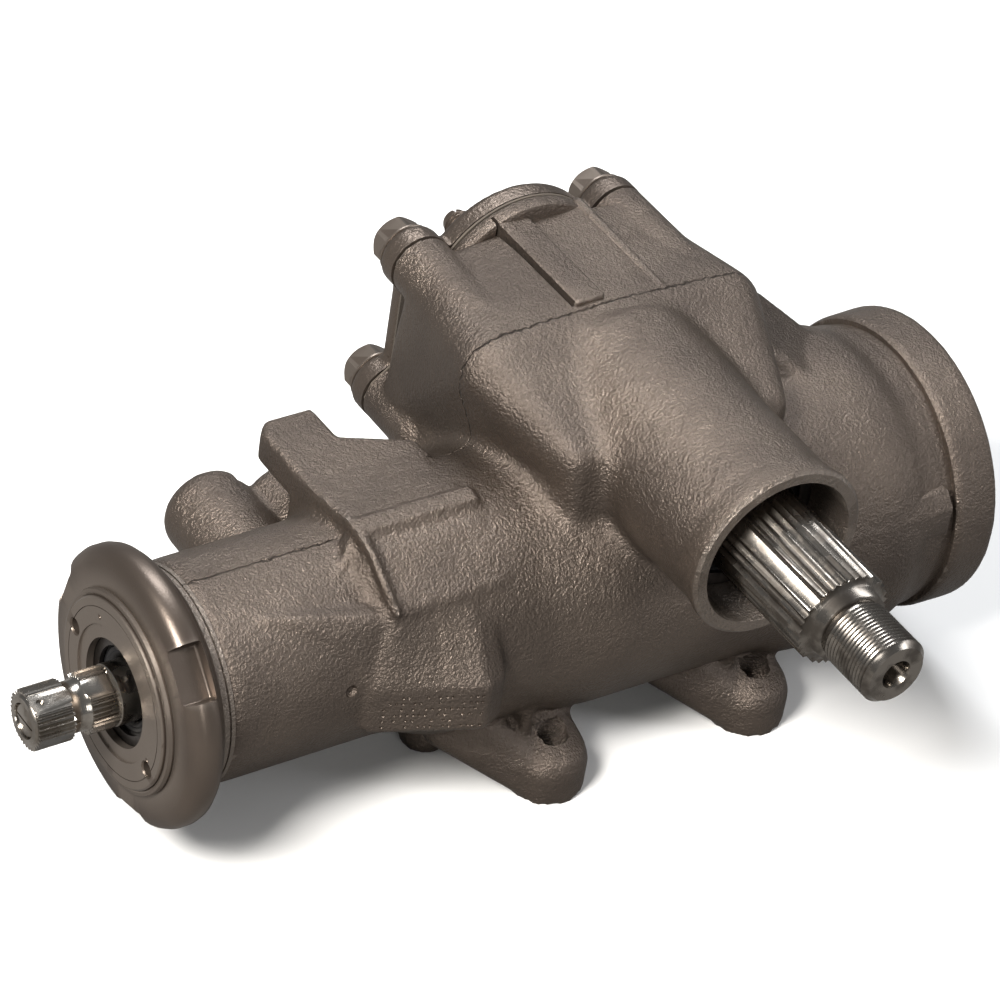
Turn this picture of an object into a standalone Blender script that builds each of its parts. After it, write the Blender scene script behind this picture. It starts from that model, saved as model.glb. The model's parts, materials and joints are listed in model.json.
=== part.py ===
# Integral power steering gear: a recirculating-ball rack and sector gear in one iron housing.
# The gear's own frame has the main bore along X (input end at -X), the pitman shaft along Y
# (output end at -Y) above it, and Z up. A root empty then stands the gear on its mounting pads.

import bmesh
import bpy
import math
from mathutils import Matrix, Vector

for leftover in list(bpy.data.objects):
    bpy.data.objects.remove(leftover, do_unlink=True)

# Fits
seat_gap = 0.0003
running_gap = 0.0003
merge_limit = 0.00001
flat_limit = math.radians(0.2)
overrun = 0.004
edge = 0.001

# Main axis, from the input end to the end plug
stub_end_x = -0.2072
stub_radius = 0.0096
stub_spline_radius = 0.0095
stub_spline_depth = 0.0007
stub_spline_length = 0.0126
stub_spline_teeth = 36
stub_neck_radius = 0.0080
stub_neck_length = 0.0048
stub_band_length = 0.0090
stub_flat_depth = 0.0012
stub_inner_radius = 0.0080
torsion_bar_radius = 0.0032
torsion_head_radius = 0.0052
torsion_head_length = 0.0065

plug_face_x = -0.1778
plug_face_radius = 0.0298
plug_thread_radius = 0.0306
plug_inner_x = -0.1415
plug_mouth_radius = 0.0170
plug_mouth_depth = 0.0086
stub_bearing_radius = 0.0135
stub_bearing_depth = 0.0178
stub_bearing_end = 0.0318
plug_hole_radius = 0.0026
plug_hole_circle = 0.0252
plug_hole_depth = 0.006

lock_ring_height = 0.0129
lock_ring_front_x = -0.1748
lock_ring_back_x = -0.1613
lock_ring_edge = 0.0040
lock_ring_notches = 3
lock_ring_notch_angle = math.radians(24)
lock_ring_notch_depth = 0.0047
lock_ring_first_notch = math.radians(16)

housing_face_x = -0.1610
neck_radius = 0.0343
flare_start_x = -0.0970
flare_end_x = -0.0830
flare_radius = 0.0425
barrel_start_x = -0.0680
body_radius = 0.0458
shoulder_start_x = 0.0400
shoulder_radius = 0.0495
shoulder_end_x = 0.0830
groove_taper = 0.0060
groove_radius = 0.0455
rim_radius = 0.0478
rim_start_x = 0.0992
housing_end_x = 0.1140
valve_bore_radius = 0.0254
valve_bore_end_x = -0.0842
web_end_x = -0.0760
web_bore_radius = 0.0115
main_bore_radius = 0.0381

# Pitman axis, parallel to Y above the main axis
boss_face_y = -0.0753
boss_radius = 0.0299
boss_length = 0.0080
tube_radius = 0.0284
mouth_radius = 0.0248
mouth_depth = 0.0283
bearing_bore_radius = 0.0223
chamber_front_y = -0.0205
cover_face_y = 0.0705
pitman_end_y = -0.1345
pitman_thread_radius = 0.0111
pitman_thread_length = 0.0225
pitman_neck_radius = 0.0126
pitman_neck_length = 0.0045
pitman_spline_radius = 0.0159
pitman_spline_depth = 0.0010
pitman_spline_teeth = 36
pitman_journal_radius = 0.0176
pitman_journal_start_y = -0.0575
pitman_rear_radius = 0.0159
pitman_rear_y = 0.0640
centre_hole_radius = 0.0040
centre_hole_depth = 0.0120

# Rack and sector
sector_pitch_radius = 0.03175
tooth_angle = math.radians(25)
pressure_angle = math.radians(25)
sector_teeth = 5
addendum = 0.0040
dedendum = 0.0046
backlash = 0.0004
sector_start_y = -0.0180
sector_end_y = 0.0240
pitman_travel = math.radians(38)
rack_start_x = -0.0540
rack_end_x = 0.0820
rack_clearance = 0.0005
rack_land_start_x = 0.0560
nut_bore_radius = 0.0142
nut_wall = 0.00155
rack_plug_length = 0.0110
retainer_gap_half = 0.0040

# Ball guides under the nut
guide_leg_x = 0.0150
guide_radius = 0.0040
guide_low_z = -0.0296
guide_room = 0.0004
guide_leg_gap = 0.0003
guide_pocket_half = 0.0130
clamp_thickness = 0.0010
clamp_screw_y = 0.0066
clamp_screw_radius = 0.0015
clamp_screw_head = 0.0021
clamp_screw_end = -0.0190

# Worm and balls
worm_radius = 0.0102
worm_end_x = 0.0470
worm_lead = 0.01425
worm_head_radius = 0.0210
worm_head_start_x = -0.0979
worm_head_end_x = -0.0882
ball_circle = 0.0107
ball_radius = 0.00317
ball_groove_radius = 0.0043
ball_count = 10
balls_per_turn = 5
valve_twist = math.radians(6)

# Side cover
cover_thickness = 0.0074
gasket_thickness = 0.0007
cover_disc_radius = 0.0330
cover_half_width = 0.0432
cover_low_z = 0.0080
cover_high_z = 0.0650
cover_lobe_radius = 0.0105
cover_flange_depth = 0.0110
cover_outline_steps = 72
upper_bolt_x = 0.0365
upper_bolt_z = 0.0680
lower_bolt_x = 0.0410
lower_bolt_z = 0.0198
bolt_boss_start_y = 0.0300
bolt_radius = 0.0047
bolt_flange_radius = 0.0092
bolt_flange_thickness = 0.0016
bolt_head_across_flats = 0.0143
bolt_head_height = 0.0066
bolt_grip_in_housing = 0.0220
adjuster_radius = 0.0049
adjuster_end_y = 0.1070
adjuster_head_radius = 0.0078
adjuster_head_thickness = 0.0022
adjuster_nut_flats = 0.0159
adjuster_nut_height = 0.0075
cover_boss_radius = 0.0240
cover_boss_depth = 0.0360
cover_hub_radius = 0.0165
cover_hub_height = 0.0060
bushing_radius = 0.0189

# Mounting feet, ports and ear
pad_drop = 0.0580
foot_x = 0.0386
front_foot_y = -0.0340
rear_foot_y = 0.0340
foot_radius = 0.0138
foot_thickness = 0.0155
foot_web_reach = 0.0300
foot_web_radius = 0.0120
foot_web_top_z = -0.0300
foot_hole_room = 0.0080
foot_hole_radius = 0.0055
port_x = -0.1110
port_z = 0.0010
port_face_y = 0.0667
port_radius = 0.0146
port_bore_radius = 0.0080
port_bore_depth = 0.0170
port_drill_radius = 0.0034
port_seat_radius = 0.0065
port_seat_hole = 0.0026
port_seat_height = 0.0060
return_x = -0.0873
return_z = 0.0010
return_face_y = 0.0587
return_radius = 0.0140
ear_left_x = -0.1028
ear_right_x = -0.0817
ear_top_z = 0.0380
ear_thickness = 0.0110
ear_end_y = 0.0548
ear_corner = 0.0034
ear_web_end_y = 0.0330
ear_web_low_z = 0.0120
mark_face_plan = [(-0.1106, -0.0360), (-0.0750, -0.0500), (-0.0620, -0.0400)]
mark_face_low_z = -0.0110
mark_face_high_z = 0.0060
shelf_start_x = -0.1035
shelf_end_x = -0.0620
shelf_front_y = -0.0310
shelf_front_z = 0.0283
shelf_profile = [(shelf_front_y, shelf_front_z), (-0.0145, 0.0394), (0.0000, 0.0418), (0.0180, 0.0380),
                 (shelf_front_y, 0.0000), (0.0180, 0.0000)]
passage_start_x = 0.0300
passage_end_x = 0.0965
passage_profile = [(-0.0445, 0.0225), (-0.0480, 0.0180), (-0.0480, 0.0080), (-0.0445, 0.0035),
                   (-0.0200, 0.0225), (-0.0200, 0.0035)]

# The sector room's outside, widest at the mould's parting plane
belly_y = 0.0180
belly_half = 0.0545
belly_corner_radius = 0.0125
belly_corner_z = 0.0655
belly_low_z = 0.0000
belly_low_radius = 0.0200
belly_top_radius = 0.0285
dome_wall = 0.0030
dome_front_radius = 0.0360

# Worked out from the sizes above
rack_ratio = sector_pitch_radius
rack_travel = rack_ratio * pitman_travel
rack_radius = main_bore_radius - rack_clearance
pitch_line_z = nut_bore_radius + nut_wall + dedendum
pitman_height = pitch_line_z + sector_pitch_radius
lock_ring_radius = plug_thread_radius + lock_ring_height
lock_ring_notch_floor = lock_ring_radius - lock_ring_notch_depth
rack_flat_z = pitch_line_z + addendum
sector_tip_radius = sector_pitch_radius + addendum
sector_root_radius = sector_pitch_radius - dedendum
chamber_radius = sector_tip_radius + 0.0009
hub_chamber_radius = cover_boss_radius + 0.0025
end_plug_start_x = rack_end_x + rack_travel + 0.0013
end_plug_end_x = end_plug_start_x + 0.0060
end_bore_radius = main_bore_radius + 0.0010
gasket_y = cover_face_y + seat_gap
cover_start_y = gasket_y + gasket_thickness + seat_gap
cover_end_y = cover_start_y + cover_thickness
hub_end_y = cover_end_y + cover_hub_height
bearing_start_y = boss_face_y + mouth_depth
centre_x = -(stub_end_x + housing_end_x) / 2
centre_y = -(pitman_end_y + adjuster_end_y) / 2
cover_bolts = [(-upper_bolt_x, upper_bolt_z), (upper_bolt_x, upper_bolt_z),
               (-lower_bolt_x, lower_bolt_z), (lower_bolt_x, lower_bolt_z)]
feet = [(-foot_x, front_foot_y), (foot_x, front_foot_y),
        (-foot_x, rear_foot_y), (foot_x, rear_foot_y)]
pitman_centre = (0, 0, pitman_height)

parts = bpy.data.collections.new("steering_gearbox")
cutters = bpy.data.collections.new("cutters")
bpy.context.scene.collection.children.link(parts)
bpy.context.scene.collection.children.link(cutters)

finishes = {
    "painted_iron": ((0.155, 0.130, 0.112), 0.45, 0.55),
    "painted_steel": ((0.180, 0.155, 0.135), 0.40, 0.60),
    "machined_steel": ((0.46, 0.44, 0.41), 0.28, 1.0),
    "hardened_steel": ((0.36, 0.35, 0.34), 0.30, 1.0),
    "spring_steel": ((0.16, 0.15, 0.14), 0.40, 0.9),
    "bearing_steel": ((0.62, 0.62, 0.62), 0.18, 1.0),
    "rubber": ((0.015, 0.015, 0.016), 0.60, 0.0),
    "ptfe": ((0.55, 0.53, 0.48), 0.50, 0.0),
    "brass": ((0.55, 0.40, 0.16), 0.35, 1.0),
    "bronze": ((0.45, 0.28, 0.14), 0.40, 1.0),
    "gasket_fibre": ((0.09, 0.075, 0.06), 0.85, 0.0),
}


def finish(name, kind):
    colour, roughness, metallic = finishes[kind]
    material = bpy.data.materials.new(name + "_" + kind)
    material.use_nodes = True
    shader = material.node_tree.nodes["Principled BSDF"]
    shader.inputs["Base Color"].default_value = (*colour, 1)
    shader.inputs["Roughness"].default_value = roughness
    shader.inputs["Metallic"].default_value = metallic
    return material


def frame_empty(name, location, parent=None):
    empty = bpy.data.objects.new(name, None)
    empty.empty_display_size = 0.02
    empty.parent = parent
    empty.location = location
    parts.objects.link(empty)
    return empty


# The root empty stands the gear on its pads, centred in its own box.
gear_frame = frame_empty("gear_frame", (centre_x, centre_y, pad_drop))
pitman_frame = frame_empty("pitman_axis", pitman_centre, gear_frame)
rack_frame = frame_empty("rack_axis", (0, 0, 0), gear_frame)
worm_frame = frame_empty("input_axis", (worm_head_start_x, 0, 0), gear_frame)
stub_frame = frame_empty("valve_axis", (0, 0, 0), worm_frame)
origins = {gear_frame: Vector((0, 0, 0)), pitman_frame: Vector(pitman_centre),
           rack_frame: Vector((0, 0, 0)), worm_frame: Vector((worm_head_start_x, 0, 0)),
           stub_frame: Vector((worm_head_start_x, 0, 0))}

turns = {"X": Matrix.Rotation(math.radians(90), 4, "Y"),
         "Y": Matrix.Rotation(math.radians(-90), 4, "X"),
         "Z": Matrix.Identity(4)}


def cutter(name, mesh, matrix=Matrix.Identity(4)):
    solid = bpy.data.objects.new(name, mesh)
    solid.matrix_world = matrix
    solid.hide_render = True
    solid.display_type = "WIRE"
    cutters.objects.link(solid)
    return solid


def turned(name, outer, inner=(), axis="X", centre=(0, 0, 0), steps=20):
    # A profile of (place along the axis, radius) pairs, each list running up the axis.
    points = [(radius, along) for along, radius in reversed(outer)]
    if inner:
        points += [(radius, along) for along, radius in inner]
    else:
        points = [(0, points[0][1])] + points + [(0, points[-1][1])]
    mesh = bpy.data.meshes.new(name)
    edges = [(i, i + 1) for i in range(len(points) - 1)]
    if inner:
        edges.append((len(points) - 1, 0))
    mesh.from_pydata([(r, 0, z) for r, z in points], edges, [])
    solid = cutter(name, mesh, Matrix.Translation(centre) @ turns[axis])
    screw = solid.modifiers.new("turn", "SCREW")
    screw.steps = steps
    screw.render_steps = steps
    screw.use_merge_vertices = True
    screw.merge_threshold = merge_limit
    screw.use_smooth_shade = True
    return solid


def cylinder(name, radius, start, end, axis="X", centre=(0, 0, 0), steps=20):
    return turned(name, [(start, radius), (end, radius)], (), axis, centre, steps)


def ring(name, inner, outer, start, end, axis="X", centre=(0, 0, 0), steps=20):
    return turned(name, [(start, outer), (end, outer)], [(start, inner), (end, inner)],
                  axis, centre, steps)


def o_ring(name, middle, radius, at, axis="X", centre=(0, 0, 0), steps=28, sides=6):
    mesh = bpy.data.meshes.new(name)
    points = []
    for i in range(sides):
        angle = -math.tau * i / sides
        points.append((middle + radius * math.cos(angle), 0, at + radius * math.sin(angle)))
    mesh.from_pydata(points, [(i, (i + 1) % sides) for i in range(sides)], [])
    solid = cutter(name, mesh, Matrix.Translation(centre) @ turns[axis])
    screw = solid.modifiers.new("turn", "SCREW")
    screw.steps = steps
    screw.render_steps = steps
    screw.use_merge_vertices = True
    screw.merge_threshold = merge_limit
    screw.use_smooth_shade = True
    return solid


def box(name, low, high, matrix=Matrix.Identity(4)):
    mesh = bpy.data.meshes.new(name)
    shape = bmesh.new()
    size = [h - l for l, h in zip(low, high)]
    middle = [(h + l) / 2 for l, h in zip(low, high)]
    bmesh.ops.create_cube(shape, size=1, matrix=Matrix.Translation(middle) @ Matrix.Diagonal((*size, 1)))
    shape.to_mesh(mesh)
    shape.free()
    return cutter(name, mesh, matrix)


def hull(name, points):
    mesh = bpy.data.meshes.new(name)
    shape = bmesh.new()
    for point in points:
        shape.verts.new(point)
    made = bmesh.ops.convex_hull(shape, input=shape.verts)
    spare = {v for v in made["geom_interior"] + made["geom_unused"] if isinstance(v, bmesh.types.BMVert)}
    bmesh.ops.delete(shape, geom=list(spare), context="VERTS")
    bmesh.ops.dissolve_limit(shape, angle_limit=0.0005, verts=shape.verts, edges=shape.edges)
    shape.to_mesh(mesh)
    shape.free()
    return cutter(name, mesh)


def circle(x, y, z, radius, axis="Y", count=12):
    # Points around a circle whose plane is square to the given axis.
    points = []
    for i in range(count):
        a = radius * math.cos(math.tau * i / count)
        b = radius * math.sin(math.tau * i / count)
        points.append({"X": (x, y + a, z + b), "Y": (x + a, y, z + b), "Z": (x + a, y + b, z)}[axis])
    return points


def meshed(solid):
    # A curve's mesh with its caps welded, in place of the curve.
    view = bpy.context.view_layer
    view.update()
    mesh = bpy.data.meshes.new_from_object(solid.evaluated_get(bpy.context.evaluated_depsgraph_get()))
    shape = bmesh.new()
    shape.from_mesh(mesh)
    bmesh.ops.remove_doubles(shape, verts=shape.verts, dist=merge_limit)
    bmesh.ops.recalc_face_normals(shape, faces=shape.faces)
    shape.to_mesh(mesh)
    shape.free()
    name = solid.name
    matrix = solid.matrix_world.copy()
    bpy.data.objects.remove(solid, do_unlink=True)
    return cutter(name, mesh, matrix)


def extruded(name, outline, start, end, axis="Y", centre=(0, 0, 0)):
    # A flat outline of (x, z) points for axis Y, or (y, z) points for axis X.
    curve = bpy.data.curves.new(name, "CURVE")
    curve.dimensions = "2D"
    curve.fill_mode = "BOTH"
    curve.extrude = (end - start) / 2
    spline = curve.splines.new("POLY")
    spline.points.add(len(outline) - 1)
    spline.use_cyclic_u = True
    for point, (a, b) in zip(spline.points, outline):
        flat = (a, -b) if axis == "Y" else (-b, a)
        point.co = (*flat, 0, 1)
    solid = bpy.data.objects.new(name, curve)
    middle = {"X": ((start + end) / 2, 0, 0), "Y": (0, (start + end) / 2, 0)}[axis]
    cutters.objects.link(solid)
    solid.matrix_world = Matrix.Translation(Vector(centre) + Vector(middle)) @ turns[axis]
    return meshed(solid)


def tube(name, points, radius, resolution=2):
    curve = bpy.data.curves.new(name, "CURVE")
    curve.dimensions = "3D"
    curve.bevel_depth = radius
    curve.bevel_resolution = resolution
    curve.use_fill_caps = True
    spline = curve.splines.new("POLY")
    spline.points.add(len(points) - 1)
    for point, place in zip(spline.points, points):
        point.co = (*place, 1)
    solid = bpy.data.objects.new(name, curve)
    cutters.objects.link(solid)
    return meshed(solid)


def combine(target, others, operation):
    for other in others:
        step = target.modifiers.new(other.name, "BOOLEAN")
        step.operation = operation
        step.solver = "EXACT"
        step.object = other
        weld = target.modifiers.new("weld", "WELD")
        weld.merge_threshold = merge_limit
    return target


def join(target, *others):
    return combine(target, others, "UNION")


def cut(target, *others):
    return combine(target, others, "DIFFERENCE")


def part(solid, name, kind, body=gear_frame, sharp=35):
    # The finished solid: its modifiers applied, shaded smooth, on its body's frame.
    bpy.context.view_layer.update()
    mesh = bpy.data.meshes.new_from_object(solid.evaluated_get(bpy.context.evaluated_depsgraph_get()))
    mesh.transform(Matrix.Translation(-origins[body]) @ solid.matrix_world)
    shape = bmesh.new()
    shape.from_mesh(mesh)
    bmesh.ops.dissolve_limit(shape, angle_limit=flat_limit, verts=shape.verts, edges=shape.edges)
    shape.to_mesh(mesh)
    shape.free()
    mesh.materials.clear()
    mesh.materials.append(finish(name, kind))
    mesh.shade_smooth()
    mesh.set_sharp_from_angle(angle=math.radians(sharp))
    mesh.name = name
    bpy.data.objects.remove(solid, do_unlink=True)
    made = bpy.data.objects.new(name, mesh)
    made.parent = body
    parts.objects.link(made)
    return made


def serrated(teeth, radius, depth):
    # Points of a zigzag round outline, two to a tooth.
    points = []
    for i in range(2 * teeth):
        reach = radius if i % 2 == 0 else radius - depth
        angle = math.pi * i / teeth
        points.append((reach * math.cos(angle), reach * math.sin(angle)))
    return points


def hexagon(across_flats, turn=0.0):
    reach = across_flats / math.sqrt(3)
    return [(reach * math.cos(turn + math.pi * i / 3), reach * math.sin(turn + math.pi * i / 3))
            for i in range(6)]


def circle_reach(direction, centre, radius):
    # How far along the direction the circle ends, or nothing where the ray misses it.
    along = centre.dot(direction)
    aside = centre.length_squared - along * along
    if aside > radius * radius:
        return 0.0
    return along + math.sqrt(radius * radius - aside)


def cover_plate(name, start, end, margin=0.0):
    # The bolt flange shared by housing, gasket and cover: a disc, a block and four lobes in one outline.
    middle = Vector((0, (cover_low_z + cover_high_z) / 2))
    half_height = (cover_high_z - cover_low_z) / 2
    outline = []
    for i in range(cover_outline_steps):
        angle = math.tau * (i + 0.5) / cover_outline_steps
        direction = Vector((math.cos(angle), math.sin(angle)))
        block = min((cover_half_width - margin) / abs(direction.x), (half_height - margin) / abs(direction.y))
        reaches = [block, circle_reach(direction, Vector((0, pitman_height)) - middle, cover_disc_radius - margin)]
        for place in cover_bolts:
            reaches.append(circle_reach(direction, Vector(place) - middle, cover_lobe_radius - margin))
        point = middle + direction * max(reaches)
        outline.append((point.x, point.y))
    return extruded(name, outline, start, end, "Y")


def chamber_solid(name, start, end):
    # The sector's room: wide below, where the teeth swing, and round above for the cover's boss.
    wide = cylinder(name + "_wide", chamber_radius, start, end, "Y", pitman_centre, 28)
    roof = box(name + "_roof", (-0.1, start - overrun, pitman_height + 0.008),
               (0.1, end + overrun, 0.2))
    hub = cylinder(name + "_hub", hub_chamber_radius, start, end, "Y", pitman_centre, 24)
    return join(cut(wide, roof), hub)


def make_housing():
    body = turned("housing", [
        (housing_face_x, neck_radius - edge), (housing_face_x + edge, neck_radius),
        (flare_start_x, neck_radius), (flare_end_x, flare_radius),
        (barrel_start_x, body_radius), (shoulder_start_x, body_radius),
        (shoulder_start_x + groove_taper, shoulder_radius),
        (shoulder_end_x, shoulder_radius), (shoulder_end_x + groove_taper, groove_radius),
        (rim_start_x - edge, groove_radius), (rim_start_x, rim_radius),
        (housing_end_x - edge, rim_radius), (housing_end_x, rim_radius - edge)], steps=28)
    pitman_tube = turned("pitman_tube", [
        (boss_face_y, boss_radius - edge), (boss_face_y + edge, boss_radius),
        (boss_face_y + boss_length, boss_radius), (boss_face_y + boss_length + 3 * edge, tube_radius),
        (0, tube_radius)], axis="Y", centre=pitman_centre, steps=28)
    flange = cover_plate("flange", cover_face_y - cover_flange_depth, cover_face_y)
    rear_y = cover_face_y - 4 * edge
    front_y = chamber_front_y - 10 * edge
    room_radius = chamber_radius + dome_wall
    dome = circle(0, rear_y, pitman_height, cover_disc_radius - edge, count=20)
    for side in (-1, 1):
        flange_x = side * (cover_half_width - 0.006)
        dome += circle(side * (belly_half - belly_corner_radius), belly_y, belly_corner_z, belly_corner_radius)
        dome += circle(side * (belly_half - belly_low_radius), belly_y, belly_low_z, belly_low_radius)
        dome += circle(flange_x, rear_y, cover_high_z - 0.008, 0.006)
        dome += circle(flange_x, rear_y, cover_low_z + 0.002, 0.006)
        dome.append((side * room_radius, chamber_front_y - dome_wall, pitman_height + 0.008))
    dome += circle(0, belly_y, pitman_height, belly_top_radius, count=16)
    dome += circle(0, front_y, pitman_height - 0.004, belly_top_radius, count=16)
    dome += circle(0, front_y + 0.006, 0.02, dome_front_radius, count=16)
    dome += circle(0, chamber_front_y - dome_wall, pitman_height, room_radius, count=16)[8:]
    dome_hull = hull("dome", dome)
    bosses = [cylinder("bolt_boss", cover_lobe_radius - 0.0006, bolt_boss_start_y, cover_face_y - 2 * edge,
                       "Y", (x, 0, z), 12)
              for x, z in cover_bolts]
    # Feet on both sides under the barrel, each a pad with a web up to the body.
    solids = []
    for x, y in feet:
        side = math.copysign(1, x)
        reach = math.copysign(1, y)
        web = circle(x, y, -pad_drop, foot_radius, "Z") + circle(x, y, -pad_drop + foot_thickness, foot_radius, "Z")
        web += circle(x - side * 0.004, y - reach * foot_web_reach, -pad_drop + 0.002, foot_web_radius, "Z")
        web += circle(x - side * 0.004, y - reach * foot_web_reach, foot_web_top_z, foot_web_radius, "Z")
        solids.append(hull("foot", web))
    # The block with the flat for the data mark.
    block_points = [(x, y, z) for x, y in mark_face_plan for z in (mark_face_low_z, mark_face_high_z)]
    block_points += [(x, shelf_front_y + edge, z) for x in (shelf_start_x, shelf_end_x)
                     for z in (mark_face_low_z, shelf_front_z - edge)]
    block_points.append((mark_face_plan[0][0], shelf_front_y + edge, mark_face_low_z))
    block_points.append((mark_face_plan[0][0], shelf_front_y + edge, mark_face_high_z))
    block = hull("mark_block", block_points)
    # The pressure and return port bosses, and the flat ear above them.
    port = cylinder("port_boss", port_radius, 0.0, port_face_y, "Y", (port_x, 0, port_z))
    back = cylinder("return_boss", return_radius, 0.0, return_face_y, "Y", (return_x, 0, return_z), 20)
    ear_low_z = ear_top_z - ear_thickness
    ear_plan = [(ear_left_x, 0.0), (ear_left_x, ear_end_y - ear_corner), (ear_left_x + ear_corner, ear_end_y),
                (ear_right_x, ear_end_y), (ear_right_x, 0.0)]
    ear = hull("ear", [(x, y, z) for x, y in ear_plan for z in (ear_low_z, ear_top_z)])
    ear_web = hull("ear_web", [(x, y, z) for x in (ear_left_x + 2 * ear_corner, shelf_end_x)
                               for y, z in ((0.0, ear_top_z - edge), (ear_web_end_y, ear_top_z - edge),
                                            (ear_web_end_y, ear_low_z + edge), (0.0, ear_web_low_z))])
    # The passage boss beside the pitman tube.
    passage = hull("passage_boss", [(x, y, z) for x in (passage_start_x, passage_end_x)
                                    for y, z in passage_profile])
    shelf = hull("shelf", [(x, y, z) for x in (shelf_start_x, shelf_end_x) for y, z in shelf_profile])
    join(body, pitman_tube, flange, dome_hull, *bosses, *solids, block, shelf, port, back, ear_web, ear, passage)

    # Bores
    main_bore = turned("main_bore", [
        (web_end_x, main_bore_radius), (end_plug_start_x - seat_gap, main_bore_radius),
        (end_plug_start_x - seat_gap, end_bore_radius),
        (end_plug_end_x + seat_gap, end_bore_radius),
        (end_plug_end_x + seat_gap, end_bore_radius + 0.0016),
        (end_plug_end_x + 0.0023, end_bore_radius + 0.0016),
        (end_plug_end_x + 0.0023, end_bore_radius),
        (housing_end_x + overrun, end_bore_radius)], steps=28)
    valve_bore = turned("valve_bore", [
        (housing_face_x - overrun, plug_thread_radius + running_gap),
        (plug_inner_x + 0.0009, plug_thread_radius + running_gap),
        (plug_inner_x + 0.0009, valve_bore_radius), (valve_bore_end_x, valve_bore_radius),
        (valve_bore_end_x, web_bore_radius), (web_end_x + overrun, web_bore_radius)], steps=28)
    pitman_bore = turned("pitman_bore", [
        (boss_face_y - overrun, mouth_radius), (bearing_start_y - 0.0100, mouth_radius),
        (bearing_start_y - 0.0100, mouth_radius + 0.0016), (bearing_start_y - 0.0082, mouth_radius + 0.0016),
        (bearing_start_y - 0.0082, mouth_radius), (bearing_start_y, mouth_radius),
        (bearing_start_y, bearing_bore_radius), (chamber_front_y - 0.0012, bearing_bore_radius),
        (chamber_front_y - 0.0012, pitman_journal_radius + 0.0020),
        (chamber_front_y + overrun, pitman_journal_radius + 0.0020)],
        axis="Y", centre=pitman_centre, steps=28)
    chamber = chamber_solid("chamber", chamber_front_y, cover_face_y + overrun)
    cut(body, main_bore, valve_bore, pitman_bore, chamber)
    for x, z in cover_bolts:
        hole_start = cover_face_y - bolt_grip_in_housing - 0.003
        cut(body, cylinder("bolt_hole", bolt_radius + seat_gap, hole_start, cover_face_y + overrun,
                           "Y", (x, 0, z), 12))
    for x, y in feet:
        cut(body, cylinder("foot_hole", foot_hole_radius, -pad_drop - overrun,
                           -pad_drop + foot_thickness + foot_hole_room, "Z", (x, y, 0), 16))
    for x, z, face in ((port_x, port_z, port_face_y), (return_x, return_z, return_face_y)):
        floor = face - port_bore_depth
        cut(body, turned("port_bore", [
            (0, port_drill_radius), (floor - port_seat_height, port_drill_radius),
            (floor - port_seat_height, port_seat_radius + seat_gap), (floor, port_seat_radius + seat_gap),
            (floor, port_bore_radius), (face + overrun, port_bore_radius)],
            axis="Y", centre=(x, 0, z), steps=16))
    part(body, "gear_housing", "painted_iron")


def make_side_cover():
    cover = cover_plate("cover", cover_start_y, cover_end_y)
    boss = cylinder("cover_boss", cover_boss_radius, cover_boss_depth, cover_end_y - 0.003, "Y", pitman_centre)
    hub = turned("cover_hub", [(cover_end_y - 0.002, cover_hub_radius + 0.003),
                               (cover_end_y + 0.001, cover_hub_radius), (hub_end_y, cover_hub_radius - 0.001)],
                 axis="Y", centre=pitman_centre)
    bore = turned("cover_bore", [
        (cover_boss_depth - overrun, bushing_radius + seat_gap), (pitman_rear_y + 0.002, bushing_radius + seat_gap),
        (pitman_rear_y + 0.002, adjuster_radius + running_gap), (hub_end_y + overrun, adjuster_radius + running_gap)],
        axis="Y", centre=pitman_centre)
    join(cover, boss, hub)
    cut(cover, bore)
    for x, z in cover_bolts:
        cut(cover, cylinder("cover_hole", bolt_radius + seat_gap, cover_start_y - overrun,
                            cover_end_y + overrun, "Y", (x, 0, z), 12))
    part(cover, "side_cover", "painted_iron")

    gasket = cover_plate("gasket", gasket_y, gasket_y + gasket_thickness, 0.0008)
    cut(gasket, chamber_solid("gasket_chamber", gasket_y - overrun, gasket_y + overrun))
    for x, z in cover_bolts:
        cut(gasket, cylinder("gasket_hole", bolt_radius + seat_gap, gasket_y - overrun,
                             gasket_y + overrun, "Y", (x, 0, z), 12))
    part(gasket, "side_cover_gasket", "gasket_fibre")

    part(ring("bushing", pitman_rear_radius + running_gap, bushing_radius, cover_boss_depth + 0.001,
              pitman_rear_y - 0.002, "Y", pitman_centre), "side_cover_bushing", "bronze")

    for number, (x, z) in enumerate(cover_bolts, 1):
        seat = cover_end_y + seat_gap
        shank_end = cover_face_y - bolt_grip_in_housing
        bolt = turned("bolt", [
            (shank_end, bolt_radius - 0.001), (shank_end + 0.001, bolt_radius), (seat, bolt_radius),
            (seat, bolt_flange_radius), (seat + bolt_flange_thickness * 0.6, bolt_flange_radius),
            (seat + bolt_flange_thickness, bolt_head_across_flats / 2)],
            axis="Y", centre=(x, 0, z), steps=12)
        head = extruded("bolt_head", hexagon(bolt_head_across_flats, 0.4 * number),
                        seat + bolt_flange_thickness * 0.5,
                        seat + bolt_flange_thickness + bolt_head_height, "Y", (x, 0, z))
        part(join(bolt, head), "side_cover_bolt_%d" % number, "painted_steel")


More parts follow.
